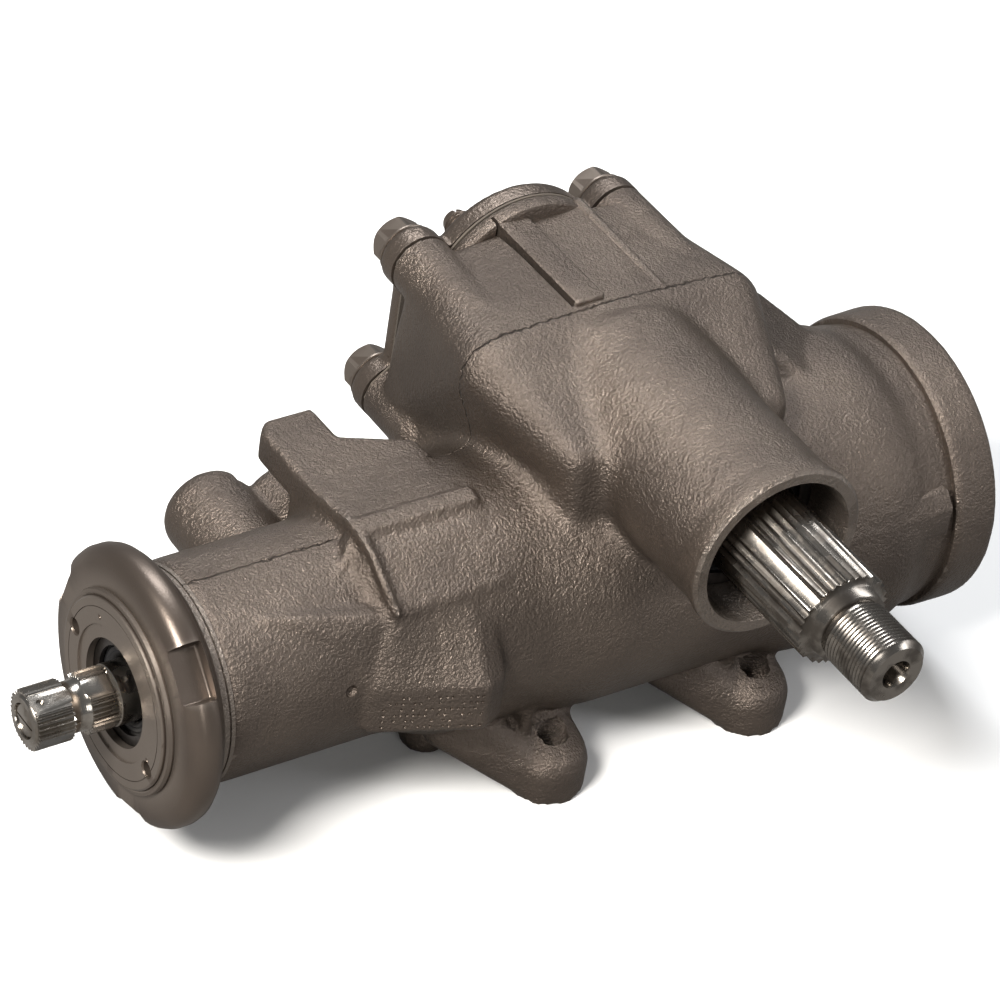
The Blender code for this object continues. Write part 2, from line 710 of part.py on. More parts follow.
def make_lash_adjuster():
    slot_floor = pitman_rear_y - 0.0046
    head_start = slot_floor + 0.0006
    head_end = head_start + adjuster_head_thickness
    screw = turned("adjuster", [
        (head_start, adjuster_head_radius), (head_end, adjuster_head_radius),
        (head_end, adjuster_radius), (adjuster_end_y - 0.001, adjuster_radius),
        (adjuster_end_y, adjuster_radius - 0.001)], axis="Y", centre=pitman_centre, steps=24)
    slot = box("driver_slot", (-0.0008, adjuster_end_y - 0.0025, pitman_height - 0.01),
               (0.0008, adjuster_end_y + overrun, pitman_height + 0.01))
    part(cut(screw, slot), "lash_adjuster_screw", "painted_steel")

    nut_start = hub_end_y + seat_gap
    nut = extruded("nut", hexagon(adjuster_nut_flats), nut_start, nut_start + adjuster_nut_height,
                   "Y", pitman_centre)
    hole = cylinder("nut_hole", adjuster_radius + running_gap, nut_start - overrun,
                    nut_start + adjuster_nut_height + overrun, "Y", pitman_centre, 24)
    part(cut(nut, hole), "lash_adjuster_lock_nut", "painted_steel")


def make_end_plug():
    groove_floor = end_bore_radius - 0.0026
    middle = (end_plug_start_x + end_plug_end_x) / 2
    plug = turned("end_plug", [
        (end_plug_start_x, end_bore_radius - running_gap), (middle - 0.0014, end_bore_radius - running_gap),
        (middle - 0.0014, groove_floor), (middle + 0.0014, groove_floor),
        (middle + 0.0014, end_bore_radius - running_gap), (end_plug_end_x, end_bore_radius - running_gap)],
        steps=28)
    socket = extruded("plug_socket", [(-0.0065, -0.0065), (0.0065, -0.0065), (0.0065, 0.0065), (-0.0065, 0.0065)],
                      end_plug_end_x - 0.0035, end_plug_end_x + overrun, "X")
    part(cut(plug, socket), "end_plug", "painted_steel")
    part(o_ring("plug_ring", groove_floor + 0.0012, 0.00105, middle),
         "end_plug_o_ring", "rubber")
    hoop = ring("retainer", end_bore_radius - 0.0045, end_bore_radius + 0.0012,
                end_plug_end_x + seat_gap + 0.0002, end_plug_end_x + 0.0019, steps=28)
    gap = box("retainer_gap", (0, -retainer_gap_half, -2 * end_bore_radius),
              (2 * end_plug_end_x, retainer_gap_half, -end_bore_radius / 2))
    part(cut(hoop, gap), "end_plug_retaining_ring", "spring_steel")


def make_adjuster_plug():
    groove = plug_thread_radius - 0.0024
    seal_x = plug_face_x + 0.0200
    plug = turned("plug", [
        (plug_face_x, plug_face_radius - 0.0006), (plug_face_x + 0.0006, plug_face_radius),
        (lock_ring_front_x - 0.0004, plug_face_radius), (lock_ring_front_x - 0.0004, plug_thread_radius),
        (seal_x, plug_thread_radius), (seal_x, groove), (seal_x + 0.0034, groove),
        (seal_x + 0.0034, plug_thread_radius), (plug_inner_x, plug_thread_radius)], [
        (plug_face_x, plug_mouth_radius), (plug_face_x + 0.0030, plug_mouth_radius),
        (plug_face_x + 0.0030, plug_mouth_radius + 0.0014), (plug_face_x + 0.0046, plug_mouth_radius + 0.0014),
        (plug_face_x + 0.0046, plug_mouth_radius), (plug_face_x + plug_mouth_depth, plug_mouth_radius),
        (plug_face_x + plug_mouth_depth, plug_mouth_radius - 0.001),
        (plug_face_x + stub_bearing_depth, plug_mouth_radius - 0.001),
        (plug_face_x + stub_bearing_depth, stub_bearing_radius),
        (plug_face_x + stub_bearing_end, stub_bearing_radius),
        (plug_face_x + stub_bearing_end, stub_radius + 0.0008),
        (plug_inner_x, stub_radius + 0.0008)], steps=28)
    for side in (0, 1):
        angle = lock_ring_first_notch + math.pi * side + 0.15 * side
        y = plug_hole_circle * math.cos(angle)
        z = plug_hole_circle * math.sin(angle)
        cut(plug, cylinder("spanner_hole", plug_hole_radius, plug_face_x - overrun,
                           plug_face_x + plug_hole_depth, "X", (0, y, z), 12))
    part(plug, "adjuster_plug", "painted_iron")
    part(o_ring("plug_seal", groove + 0.0013, 0.0011, seal_x + 0.0017),
         "adjuster_plug_o_ring", "rubber")

    lock = turned("lock_ring", [
        (lock_ring_front_x, lock_ring_radius - lock_ring_edge), (lock_ring_front_x + 0.0008, lock_ring_radius - 0.0012),
        (lock_ring_front_x + 0.0026, lock_ring_radius), (lock_ring_back_x - 0.0050, lock_ring_radius),
        (lock_ring_back_x, lock_ring_radius - lock_ring_edge)], [
        (lock_ring_front_x, plug_thread_radius + running_gap),
        (lock_ring_back_x, plug_thread_radius + running_gap)], steps=48)
    for i in range(lock_ring_notches):
        angle = lock_ring_first_notch + math.tau * i / lock_ring_notches
        half = lock_ring_radius * math.sin(lock_ring_notch_angle / 2)
        notch = box("notch", (lock_ring_front_x - overrun, lock_ring_notch_floor, -half),
                    (lock_ring_back_x - 0.0035, lock_ring_radius + overrun, half),
                    Matrix.Rotation(angle, 4, "X"))
        cut(lock, notch)
    part(lock, "adjuster_lock_nut", "painted_iron")


def make_stub_seals():
    hoop = ring("snap", plug_mouth_radius - 0.0035, plug_mouth_radius + 0.0011,
                plug_face_x + 0.0032, plug_face_x + 0.0044)
    gap = box("snap_gap", (-0.2, -0.004, 0.010), (0, 0.004, 0.03), Matrix.Rotation(math.radians(-35), 4, "X"))
    part(cut(hoop, gap), "stub_seal_snap_ring", "spring_steel")
    seal_bore = stub_radius + running_gap
    part(ring("dust", seal_bore, plug_mouth_radius - seat_gap, plug_face_x + 0.0050,
              plug_face_x + plug_mouth_depth - seat_gap),
         "stub_dust_seal", "rubber")
    part(ring("seal", seal_bore, plug_mouth_radius - 0.001 - seat_gap, plug_face_x + plug_mouth_depth + seat_gap,
              plug_face_x + stub_bearing_depth - seat_gap), "stub_shaft_seal", "rubber")
    part(ring("needles", seal_bore, stub_bearing_radius - seat_gap, plug_face_x + stub_bearing_depth + seat_gap,
              plug_face_x + stub_bearing_end - seat_gap), "stub_needle_bearing", "bearing_steel")


def make_worm_bearings():
    part(ring("upper_thrust", stub_radius + 0.0040, valve_bore_radius - 0.0030, plug_inner_x + seat_gap,
              plug_inner_x + 0.0029), "upper_thrust_bearing", "bearing_steel")
    part(ring("lower_thrust", worm_radius + 0.0010, worm_head_radius - 0.0010, worm_head_end_x + seat_gap,
              valve_bore_end_x - seat_gap), "lower_thrust_bearing", "bearing_steel")


def make_valve():
    start = plug_inner_x + 0.0032
    end = worm_head_start_x - seat_gap
    land = valve_bore_radius - 0.0008
    ring_floor = land - 0.0014
    ring_width = 0.0022
    ring_count = 4
    pitch = (end - start - 0.006) / (ring_count - 1)
    outline = [(start, land)]
    rings = []
    for i in range(ring_count):
        at = start + 0.003 + i * pitch
        outline += [(at - ring_width / 2, land), (at - ring_width / 2, ring_floor),
                    (at + ring_width / 2, ring_floor), (at + ring_width / 2, land)]
        rings.append(at)
        if i < ring_count - 1:
            middle = at + pitch / 2
            outline += [(middle - 0.0020, land), (middle - 0.0020, land - 0.0022),
                        (middle + 0.0020, land - 0.0022), (middle + 0.0020, land)]
    outline.append((end, land))
    spool_radius = 0.0121
    bore = spool_radius + running_gap
    part(turned("valve_body", outline, [(start, bore), (end, bore)], steps=20),
         "valve_body", "hardened_steel", worm_frame)
    for number, at in enumerate(rings, 1):
        part(ring("valve_ring", ring_floor + seat_gap, valve_bore_radius - seat_gap,
                  at - ring_width / 2 + 0.0002, at + ring_width / 2 - 0.0002),
             "valve_body_ring_%d" % number, "ptfe", worm_frame)

    spool = ring("spool", stub_inner_radius + running_gap, spool_radius, start + 0.0015, end - 0.0045)
    for i in range(6):
        cut(spool, box("spool_slot", (start + 0.008, spool_radius - 0.0010, -0.0011),
                       (end - 0.011, spool_radius + overrun, 0.0011), Matrix.Rotation(math.tau * i / 6, 4, "X")))
    part(spool, "valve_spool", "hardened_steel", stub_frame)


def make_input_shafts():
    spline_end = stub_end_x + stub_spline_length
    neck_end = spline_end + stub_neck_length
    band_end = neck_end + stub_band_length
    journal_end = plug_inner_x - 0.0020
    tang_start = worm_head_start_x - 0.0035
    tang_end = worm_head_start_x + 0.0062
    core = stub_spline_radius - stub_spline_depth - 0.0006
    stub = turned("stub", [
        (stub_end_x, core), (spline_end, core),
        (spline_end + 0.0012, stub_neck_radius), (neck_end - 0.0012, stub_neck_radius), (neck_end, core),
        (band_end, core), (band_end + 0.0004, stub_radius), (journal_end, stub_radius),
        (journal_end + 0.0016, stub_inner_radius), (tang_start, stub_inner_radius)])
    teeth = serrated(stub_spline_teeth, stub_spline_radius, stub_spline_depth)
    join(stub, extruded("spline", teeth, stub_end_x + 0.0006, spline_end, "X"))
    join(stub, extruded("band", teeth, neck_end + 0.0002, band_end + 0.0001, "X"))
    tang_half = stub_inner_radius / 2
    tang_reach = math.sqrt(stub_inner_radius ** 2 - tang_half ** 2) - 0.0003
    join(stub, box("tang", (tang_start - 0.002, -tang_half, -tang_reach), (tang_end, tang_half, tang_reach)))
    flat = box("flat", (stub_end_x - overrun, -0.02, stub_spline_radius - stub_flat_depth),
               (band_end, 0.02, 0.02), Matrix.Rotation(math.radians(17), 4, "X"))
    bar_hole = turned("bar_hole", [
        (stub_end_x - overrun, torsion_head_radius + seat_gap),
        (stub_end_x + torsion_head_length + 0.0005, torsion_head_radius + seat_gap),
        (stub_end_x + torsion_head_length + 0.0005, torsion_bar_radius + 0.0004),
        (tang_end + overrun, torsion_bar_radius + 0.0004)], steps=24)
    cut(stub, flat, bar_hole)
    part(stub, "stub_shaft", "machined_steel", stub_frame)

    bar = turned("bar", [
        (stub_end_x + 0.0003, torsion_head_radius), (stub_end_x + torsion_head_length, torsion_head_radius),
        (stub_end_x + torsion_head_length + 0.0004, torsion_bar_radius),
        (worm_head_end_x + 0.0080, torsion_bar_radius)], steps=24)
    part(bar, "torsion_bar", "machined_steel", stub_frame)

    worm = turned("worm", [
        (worm_head_start_x, worm_head_radius), (worm_head_end_x, worm_head_radius),
        (worm_head_end_x, worm_radius), (worm_end_x - 0.002, worm_radius),
        (worm_end_x, worm_radius - 0.002)])
    slot_half = stub_inner_radius * math.sin(valve_twist) + tang_half * math.cos(valve_twist) + 0.0003
    cut(worm, box("slot", (worm_head_start_x - overrun, -slot_half, -stub_inner_radius - 0.0006),
                  (tang_end + 0.0006, slot_half, stub_inner_radius + 0.0006)))
    cut(worm, cylinder("bar_socket", torsion_bar_radius + running_gap, worm_head_start_x - overrun,
                       worm_head_end_x + 0.0083, "X", steps=24))
    steps_per_turn = 10
    reach = rack_travel + ball_count / balls_per_turn / 2 * worm_lead + 0.006
    last = math.ceil(reach / worm_lead * steps_per_turn)
    path = []
    for i in range(-last, last + 1):
        angle = math.tau * i / steps_per_turn
        path.append((worm_lead * i / steps_per_turn, ball_circle * math.cos(angle), ball_circle * math.sin(angle)))
    cut(worm, tube("worm_groove", path, ball_groove_radius))
    part(worm, "worm_shaft", "hardened_steel", worm_frame)


def rack_gap(name, at):
    low = -dedendum
    high = addendum + overrun
    mid_half = sector_pitch_radius * tooth_angle / 4 + backlash / 4
    slope = math.tan(pressure_angle)
    outline = [(at - mid_half - high * slope, pitch_line_z + high), (at - mid_half - low * slope, pitch_line_z + low),
               (at + mid_half + low * slope, pitch_line_z + low), (at + mid_half + high * slope, pitch_line_z + high)]
    return extruded(name, outline, -0.05, 0.05, "Y")


def make_rack():
    ring_at = rack_end_x - 0.0080
    groove_floor = rack_radius - 0.0022
    rack = turned("rack", [
        (rack_start_x, rack_radius - 0.001), (rack_start_x + 0.001, rack_radius),
        (ring_at - 0.0018, rack_radius), (ring_at - 0.0018, groove_floor), (ring_at + 0.0018, groove_floor),
        (ring_at + 0.0018, rack_radius), (rack_end_x - 0.001, rack_radius), (rack_end_x, rack_radius - 0.001)],
        steps=28)
    cut(rack, box("rack_flat", (rack_start_x - overrun, -0.06, rack_flat_z), (rack_land_start_x, 0.06, 0.06)))
    pitch = sector_pitch_radius * tooth_angle
    half_count = (sector_teeth - 1) // 2
    for i in range(-half_count, half_count + 1):
        cut(rack, rack_gap("rack_gap", i * pitch))
    plug_start = rack_end_x - rack_plug_length
    cut(rack, turned("nut_bore", [
        (rack_start_x - overrun, nut_bore_radius), (plug_start - 0.001, nut_bore_radius),
        (plug_start - 0.001, nut_bore_radius + 0.0016), (rack_end_x + overrun, nut_bore_radius + 0.0016)]))
    # A pocket under the nut for the ball guides, with two legs up into the nut.
    pocket_x = guide_leg_x + 2 * guide_radius
    pocket_top_z = guide_low_z + guide_radius + guide_room
    cut(rack, box("guide_pocket", (-pocket_x, -guide_pocket_half, -rack_radius - overrun),
                  (pocket_x, guide_pocket_half, pocket_top_z)))
    for x in (-guide_leg_x, guide_leg_x):
        cut(rack, cylinder("leg_hole", guide_radius + guide_leg_gap, guide_low_z - guide_room,
                           guide_radius - nut_bore_radius, "Z", (x, 0, 0), 16))
    for y in (-clamp_screw_y, clamp_screw_y):
        cut(rack, cylinder("screw_hole", clamp_screw_radius + seat_gap, guide_low_z,
                           clamp_screw_end + seat_gap, "Z", (0, y, 0), 12))
    part(rack, "rack_piston", "hardened_steel", rack_frame)

    part(turned("rack_plug", [(plug_start, nut_bore_radius + 0.0013), (rack_end_x, nut_bore_radius + 0.0013)]),
         "rack_piston_end_plug", "painted_steel", rack_frame)
    part(ring("rack_ring", groove_floor + seat_gap, main_bore_radius - running_gap, ring_at - 0.0015, ring_at + 0.0015,
              steps=28), "rack_piston_ring", "ptfe", rack_frame)


def make_ball_guides():
    for name, side in (("ball_guide_front", -1), ("ball_guide_rear", 1)):
        bend = 0.0045
        path = [(side * guide_leg_x, 0, -0.0155)]
        for i in range(7):
            angle = math.pi / 2 * i / 6
            path.append((side * (guide_leg_x - bend * (1 - math.cos(angle))), 0,
                         guide_low_z + bend - bend * math.sin(angle)))
        path.append((side * 0.0003, 0, guide_low_z))
        shell = tube(name, path, guide_radius)
        ends = [(side * guide_leg_x, 0, -0.010)] + path[1:-1] + [(-side * 0.004, 0, guide_low_z)]
        part(cut(shell, tube("guide_way", ends, guide_radius - 0.0008)), name, "machined_steel", rack_frame)
    clamp_top = guide_low_z - guide_radius - seat_gap
    clamp_low = clamp_top - clamp_thickness
    clamp = box("clamp", (-0.0045, -0.0092, clamp_low), (0.0045, 0.0092, clamp_top))
    for number, y in enumerate((-clamp_screw_y, clamp_screw_y), 1):
        cut(clamp, cylinder("clamp_hole", clamp_screw_radius + seat_gap, clamp_low - overrun,
                            clamp_top + overrun, "Z", (0, y, 0), 12))
        screw = turned("clamp_screw", [
            (clamp_low - seat_gap - 0.0012, clamp_screw_head), (clamp_low - seat_gap, clamp_screw_head),
            (clamp_low - seat_gap, clamp_screw_radius), (clamp_screw_end, clamp_screw_radius)],
            axis="Z", centre=(0, y, 0), steps=12)
        part(screw, "guide_clamp_screw_%d" % number, "painted_steel", rack_frame)
    part(clamp, "ball_guide_clamp", "spring_steel", rack_frame)


def make_balls():
    for number in range(1, ball_count + 1):
        turn = (number - (ball_count + 1) / 2) / balls_per_turn
        angle = math.tau * turn
        mesh = bpy.data.meshes.new("ball")
        shape = bmesh.new()
        bmesh.ops.create_icosphere(shape, subdivisions=2, radius=ball_radius)
        shape.to_mesh(mesh)
        shape.free()
        place = (worm_lead * turn, ball_circle * math.cos(angle), ball_circle * math.sin(angle))
        part(cutter("ball", mesh, Matrix.Translation(place)), "ball_%02d" % number, "bearing_steel", rack_frame, 60)


def sector_outline():
    # Involute flanks on five teeth under the shaft, and a round hub above them.
    base = sector_pitch_radius * math.cos(pressure_angle)

    def involute(angle):
        return math.tan(angle) - angle

    half_pitch = (sector_pitch_radius * tooth_angle / 2 - backlash / 2) / (2 * sector_pitch_radius)
    radii = [sector_root_radius] + [base + (sector_tip_radius - base) * i / 4 for i in range(5)]
    points = []
    half_count = (sector_teeth - 1) // 2
    for tooth in range(-half_count, half_count + 1):
        flank = []
        for radius in radii:
            at = math.acos(min(1.0, base / radius))
            flank.append((radius, half_pitch + involute(pressure_angle) - involute(at)))
        flank[0] = (sector_root_radius, flank[1][1])
        for radius, half in flank:
            points.append((radius, tooth * tooth_angle - half))
        for radius, half in reversed(flank):
            points.append((radius, tooth * tooth_angle + half))
    outline = [(r * math.sin(a), -r * math.cos(a)) for r, a in points]
    hub = 0.0200
    outline += [(hub * math.cos(math.radians(a)), hub * math.sin(math.radians(a))) for a in range(15, 180, 15)]
    return outline


def make_pitman():
    spline_start = pitman_end_y + pitman_thread_length + pitman_neck_length
    spline_end = pitman_journal_start_y - 0.0030
    core = pitman_spline_radius - pitman_spline_depth - 0.0006
    shaft = turned("pitman", [
        (pitman_end_y, pitman_thread_radius - 0.0010), (pitman_end_y + 0.0010, pitman_thread_radius),
        (pitman_end_y + pitman_thread_length, pitman_thread_radius),
        (pitman_end_y + pitman_thread_length, pitman_neck_radius),
        (spline_start - 0.0015, pitman_neck_radius), (spline_start, core), (spline_end, core),
        (pitman_journal_start_y, pitman_journal_radius), (sector_start_y + 0.001, pitman_journal_radius),
        (sector_end_y - 0.001, pitman_journal_radius), (sector_end_y - 0.001, pitman_rear_radius),
        (pitman_rear_y, pitman_rear_radius)], axis="Y", centre=pitman_centre, steps=28)
    join(shaft, extruded("pitman_spline", serrated(pitman_spline_teeth, pitman_spline_radius, pitman_spline_depth),
                         spline_start + 0.0002, spline_end + 0.0011, "Y", pitman_centre))
    join(shaft, extruded("sector", sector_outline(), sector_start_y, sector_end_y, "Y", pitman_centre))
    cut(shaft, turned("centre_hole", [
        (pitman_end_y - overrun, centre_hole_radius + 0.001), (pitman_end_y, centre_hole_radius),
        (pitman_end_y + centre_hole_depth, centre_hole_radius - 0.0012)],
        axis="Y", centre=pitman_centre, steps=24))
    slot_floor = pitman_rear_y - 0.0046
    head_room = adjuster_head_radius + 0.0004
    neck_room = adjuster_radius + 0.0004
    cut(shaft, box("t_slot", (-0.03, slot_floor, pitman_height - head_room),
                   (0.03, slot_floor + 0.0032, pitman_height + head_room)))
    cut(shaft, box("t_neck", (-0.03, slot_floor, pitman_height - neck_room),
                   (0.03, pitman_rear_y + overrun, pitman_height + neck_room)))
    part(shaft, "pitman_shaft", "machined_steel", pitman_frame)


def make_pitman_seals():
    inner = pitman_journal_radius + running_gap
    outer = mouth_radius - seat_gap
    part(ring("needles", inner, bearing_bore_radius - seat_gap, bearing_start_y + seat_gap, chamber_front_y - 0.0015,
              "Y", pitman_centre), "pitman_needle_bearing", "bearing_steel")
    stack = [("pitman_inner_seal", 0.0029, "rubber"), ("pitman_seal_washer", 0.0010, "machined_steel"),
             ("pitman_outer_seal", 0.0029, "rubber")]
    place = bearing_start_y - seat_gap
    for name, thickness, kind in stack:
        part(ring(name + "_ring", inner, outer, place - thickness, place, "Y", pitman_centre, 28), name, kind)
        place -= thickness + seat_gap
    hoop = ring("seal_hoop", mouth_radius - 0.0040, mouth_radius + 0.0013, bearing_start_y - 0.0098,
                bearing_start_y - 0.0084, "Y", pitman_centre, 28)
    gap = box("hoop_gap", (-0.004, -0.1, pitman_height + 0.01), (0.004, 0, pitman_height + 0.04))
    part(cut(hoop, gap), "pitman_seal_retaining_ring", "spring_steel")


def make_ports():
    for name, x, z, face in (("pressure_port_seat", port_x, port_z, port_face_y),
                             ("return_port_seat", return_x, return_z, return_face_y)):
        floor = face - port_bore_depth
        seat = turned(name, [
            (floor - port_seat_height + seat_gap, port_seat_radius), (floor - 0.001, port_seat_radius),
            (floor + 0.0015, port_seat_hole + 0.0012)], [
            (floor - port_seat_height + seat_gap, port_seat_hole), (floor + 0.0015, port_seat_hole)],
            axis="Y", centre=(x, 0, z), steps=16)
        part(seat, name, "brass")


make_housing()
make_side_cover()
make_lash_adjuster()
make_end_plug()
make_adjuster_plug()
make_stub_seals()
make_worm_bearings()
make_valve()
make_input_shafts()
make_rack()
make_ball_guides()
make_balls()
make_pitman()
make_pitman_seals()
make_ports()

for spare in list(cutters.objects):
    bpy.data.objects.remove(spare, do_unlink=True)
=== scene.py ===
import json
import math
import random

import bpy
from mathutils import Matrix, Vector


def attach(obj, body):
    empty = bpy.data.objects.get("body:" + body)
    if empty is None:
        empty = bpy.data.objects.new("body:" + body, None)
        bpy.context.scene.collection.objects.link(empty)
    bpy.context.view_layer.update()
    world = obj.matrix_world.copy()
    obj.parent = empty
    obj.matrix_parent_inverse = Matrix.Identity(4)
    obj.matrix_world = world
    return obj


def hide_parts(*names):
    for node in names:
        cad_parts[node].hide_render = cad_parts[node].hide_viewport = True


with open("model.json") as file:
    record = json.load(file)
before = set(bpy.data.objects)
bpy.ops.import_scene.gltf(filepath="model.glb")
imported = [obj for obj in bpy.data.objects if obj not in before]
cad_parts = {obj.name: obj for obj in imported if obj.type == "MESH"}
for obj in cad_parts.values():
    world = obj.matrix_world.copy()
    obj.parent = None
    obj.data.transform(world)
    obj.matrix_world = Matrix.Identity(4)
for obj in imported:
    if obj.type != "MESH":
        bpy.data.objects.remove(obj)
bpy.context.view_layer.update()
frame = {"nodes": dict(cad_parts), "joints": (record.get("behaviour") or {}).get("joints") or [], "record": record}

joints = {joint["name"]: joint for joint in frame["joints"]}
mainAxis = Vector(joints["input_turn"]["pos_m"])
outputAxis = Vector(joints["pitman_turn"]["pos_m"])

# Gear coordinates are millimetres: x along the main bore from the pitman axis, y along the pitman
# shaft towards the side cover, z up from the main bore.
origin = Vector((outputAxis.x, mainAxis.y, mainAxis.z))
outputHeight = (outputAxis.z - mainAxis.z) * 1000
axisTurns = {"X": Matrix.Rotation(math.radians(90), 4, "Y"),
             "Y": Matrix.Rotation(math.radians(-90), 4, "X"),
             "Z": Matrix.Identity(4)}


def at(x, y, z):
    return origin + Vector((x, y, z)) / 1000


def clearSelection():
    if bpy.context.mode != "OBJECT":
        bpy.ops.object.mode_set(mode="OBJECT")
    bpy.ops.object.select_all(action="DESELECT")


def pick(*pieces):
    # Only these pieces selected, the first one active
    clearSelection()
    for piece in pieces:
        piece.select_set(True)
    bpy.context.view_layer.objects.active = pieces[0]
    return pieces[0]


def settle(piece):
    # Place and turn go into the mesh, so the object sits at the origin
    pick(piece)
    bpy.ops.object.transform_apply(location=True, rotation=True, scale=True)
    return piece


def moved(piece, move):
    piece.matrix_world = move
    return settle(piece)


def turnAbout(centre, axis, angle):
    # A turn about an axis through a centre in gear millimetres
    place, turn = Matrix.Translation(at(*centre)), axisTurns[axis]
    return place @ turn @ Matrix.Rotation(angle, 4, "Z") @ turn.inverted() @ place.inverted()


def newPiece(name):
    # The primitive that was just added, under its own name
    piece = bpy.context.view_layer.objects.active
    piece.name = name
    piece.data.name = name
    return settle(piece)


def modify(piece, kind, **values):
    # Adds one modifier and applies it
    pick(piece)
    modifier = piece.modifiers.new(kind.title(), kind)
    for key, value in values.items():
        setattr(modifier, key, value)
    bpy.ops.object.modifier_apply(modifier=modifier.name)
    return piece


def tidyMesh(piece, distance=0.00001):
    pick(piece)
    bpy.ops.object.mode_set(mode="EDIT")
    bpy.ops.mesh.select_all(action="SELECT")
    bpy.ops.mesh.remove_doubles(threshold=distance)
    bpy.ops.mesh.normals_make_consistent(inside=False)
    bpy.ops.object.mode_set(mode="OBJECT")
    return piece


def drawn(name, points, place):
    # A plane merged to one point and extruded into a chain of edges, all selected in edit mode
    clearSelection()
    bpy.ops.mesh.primitive_plane_add(size=0.001, location=place + points[0])
    piece = newPiece(name)
    bpy.ops.object.mode_set(mode="EDIT")
    bpy.ops.mesh.select_all(action="SELECT")
    bpy.ops.mesh.merge(type="CENTER")
    for before, after in zip(points, points[1:]):
        bpy.ops.mesh.extrude_region_move(TRANSFORM_OT_translate={"value": after - before})
    bpy.ops.mesh.select_all(action="SELECT")
    bpy.ops.mesh.remove_doubles(threshold=0.000001)
    return piece


def turned(name, profile, axis="X", centre=(0, 0, 0), steps=64, closed=False):
    # A profile of (place along the axis, radius) in gear millimetres, spun into a solid
    place, turn = at(*centre), axisTurns[axis]
    points = [turn @ (Vector((radius, 0, along)) / 1000) for along, radius in profile]
    piece = drawn(name, points + points[:1] if closed else points, place)
    bpy.ops.mesh.spin(steps=steps, angle=math.tau, center=place, axis=turn.to_3x3() @ Vector((0, 0, 1)))
    return tidyMesh(piece)


def block(name, low, high, rounding=0.0, segments=2):
    # A box between two corners, its edges rounded
    lowPoint = at(*low)
    highPoint = at(*high)
    bpy.ops.mesh.primitive_cube_add(size=1, location=(lowPoint + highPoint) / 2,
                                    scale=highPoint - lowPoint)
    piece = newPiece(name)
    if rounding:
        bpy.ops.object.mode_set(mode="EDIT")
        bpy.ops.mesh.select_all(action="SELECT")
        bpy.ops.mesh.bevel(offset=rounding / 1000, segments=segments, affect="EDGES")
        bpy.ops.object.mode_set(mode="OBJECT")
    return piece


def wrapped(name, balls, discs=()):
    # A skin pulled tight round balls (x, y, z, radius) and discs (x, y, z, radius, axis)
    bpy.ops.mesh.primitive_ico_sphere_add(subdivisions=2, radius=balls[0][3] / 1000,
                                          location=at(*balls[0][:3]))
    piece = newPiece(name)
    bpy.ops.object.mode_set(mode="EDIT")
    for x, y, z, radius in balls[1:]:
        bpy.ops.mesh.primitive_ico_sphere_add(subdivisions=2 if radius < 6 else 3, radius=radius / 1000,
                                              location=at(x, y, z))
    for x, y, z, radius, axis in discs:
        bpy.ops.mesh.primitive_circle_add(vertices=40, radius=radius / 1000, location=at(x, y, z),
                                          rotation=axisTurns[axis].to_euler())
    bpy.ops.mesh.select_all(action="SELECT")
    bpy.ops.mesh.convex_hull()
    bpy.ops.object.mode_set(mode="OBJECT")
    return piece


def rod(name, radius, start, end, axis, centre, steps=32, rounding=0.0):
    # A round bar, its end edges rounded by two short steps
    if rounding:
        profile = [(start, 0), (start, radius - rounding), (start + 0.3 * rounding, radius - 0.3 * rounding),
                   (start + rounding, radius), (end - rounding, radius),
                   (end - 0.3 * rounding, radius - 0.3 * rounding), (end, radius - rounding), (end, 0)]
    else:
        profile = [(start, 0), (start, radius), (end, radius), (end, 0)]
    return turned(name, profile, axis, centre, steps)


def joined(name, pieces):
    pick(*pieces)
    bpy.ops.object.join()
    pieces[0].name = name
    pieces[0].data.name = name
    return pieces[0]


def melted(name, pieces, voxel, smoothing):
    # Overlapping lumps become one skin, and the smoothing gives them the radii of a casting
    piece = joined(name, pieces)
    modify(piece, "REMESH", mode="VOXEL", voxel_size=voxel / 1000)
    return modify(piece, "SMOOTH", factor=0.5, iterations=smoothing)


def carved(piece, tools, operation="DIFFERENCE", solver="MANIFOLD", crossing=False):
    # crossing: the tool holds shapes that run through one another
    for tool in tools:
        tidyMesh(tool)
        modify(piece, "BOOLEAN", operation=operation, solver=solver, use_self=crossing, object=tool)
        bpy.data.objects.remove(tool, do_unlink=True)
    return piece


def copied(piece, name, move=Matrix.Identity(4)):
    twin = piece.copy()
    twin.data = piece.data.copy()
    twin.name = name
    bpy.context.scene.collection.objects.link(twin)
    return moved(twin, move)


def finished(piece, name, node, finish, sharp=40, body="housing"):
    # The last steps of every new piece: smooth shading, its finish, and the body that it rides on
    piece.name = name
    piece.data.name = name
    pick(piece)
    bpy.ops.object.shade_smooth_by_angle(angle=math.radians(sharp))
    piece.data.materials.clear()
    piece.data.materials.append(finishes[finish])
    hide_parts(node)
    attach(piece, body)
    return piece


# Node groups for the effects that several finishes share
def startGroup(name, inputs, outputs):
    group = bpy.data.node_groups.new(name, "ShaderNodeTree")
    for label, value in inputs.items():
        socket = group.interface.new_socket(label, in_out="INPUT", socket_type="NodeSocketFloat")
        socket.default_value = value
    for label in outputs:
        group.interface.new_socket(label, in_out="OUTPUT", socket_type="NodeSocketFloat")
    return group, group.nodes.new("NodeGroupInput"), group.nodes.new("NodeGroupOutput")


def mathNode(tree, operation, first, second=None, third=None):
    node = tree.nodes.new("ShaderNodeMath")
    node.operation = operation
    for socket, value in zip(node.inputs, (first, second, third)):
        if value is None:
            continue
        if isinstance(value, (int, float)):
            socket.default_value = value
        else:
            tree.links.new(value, socket)
    return node.outputs[0]


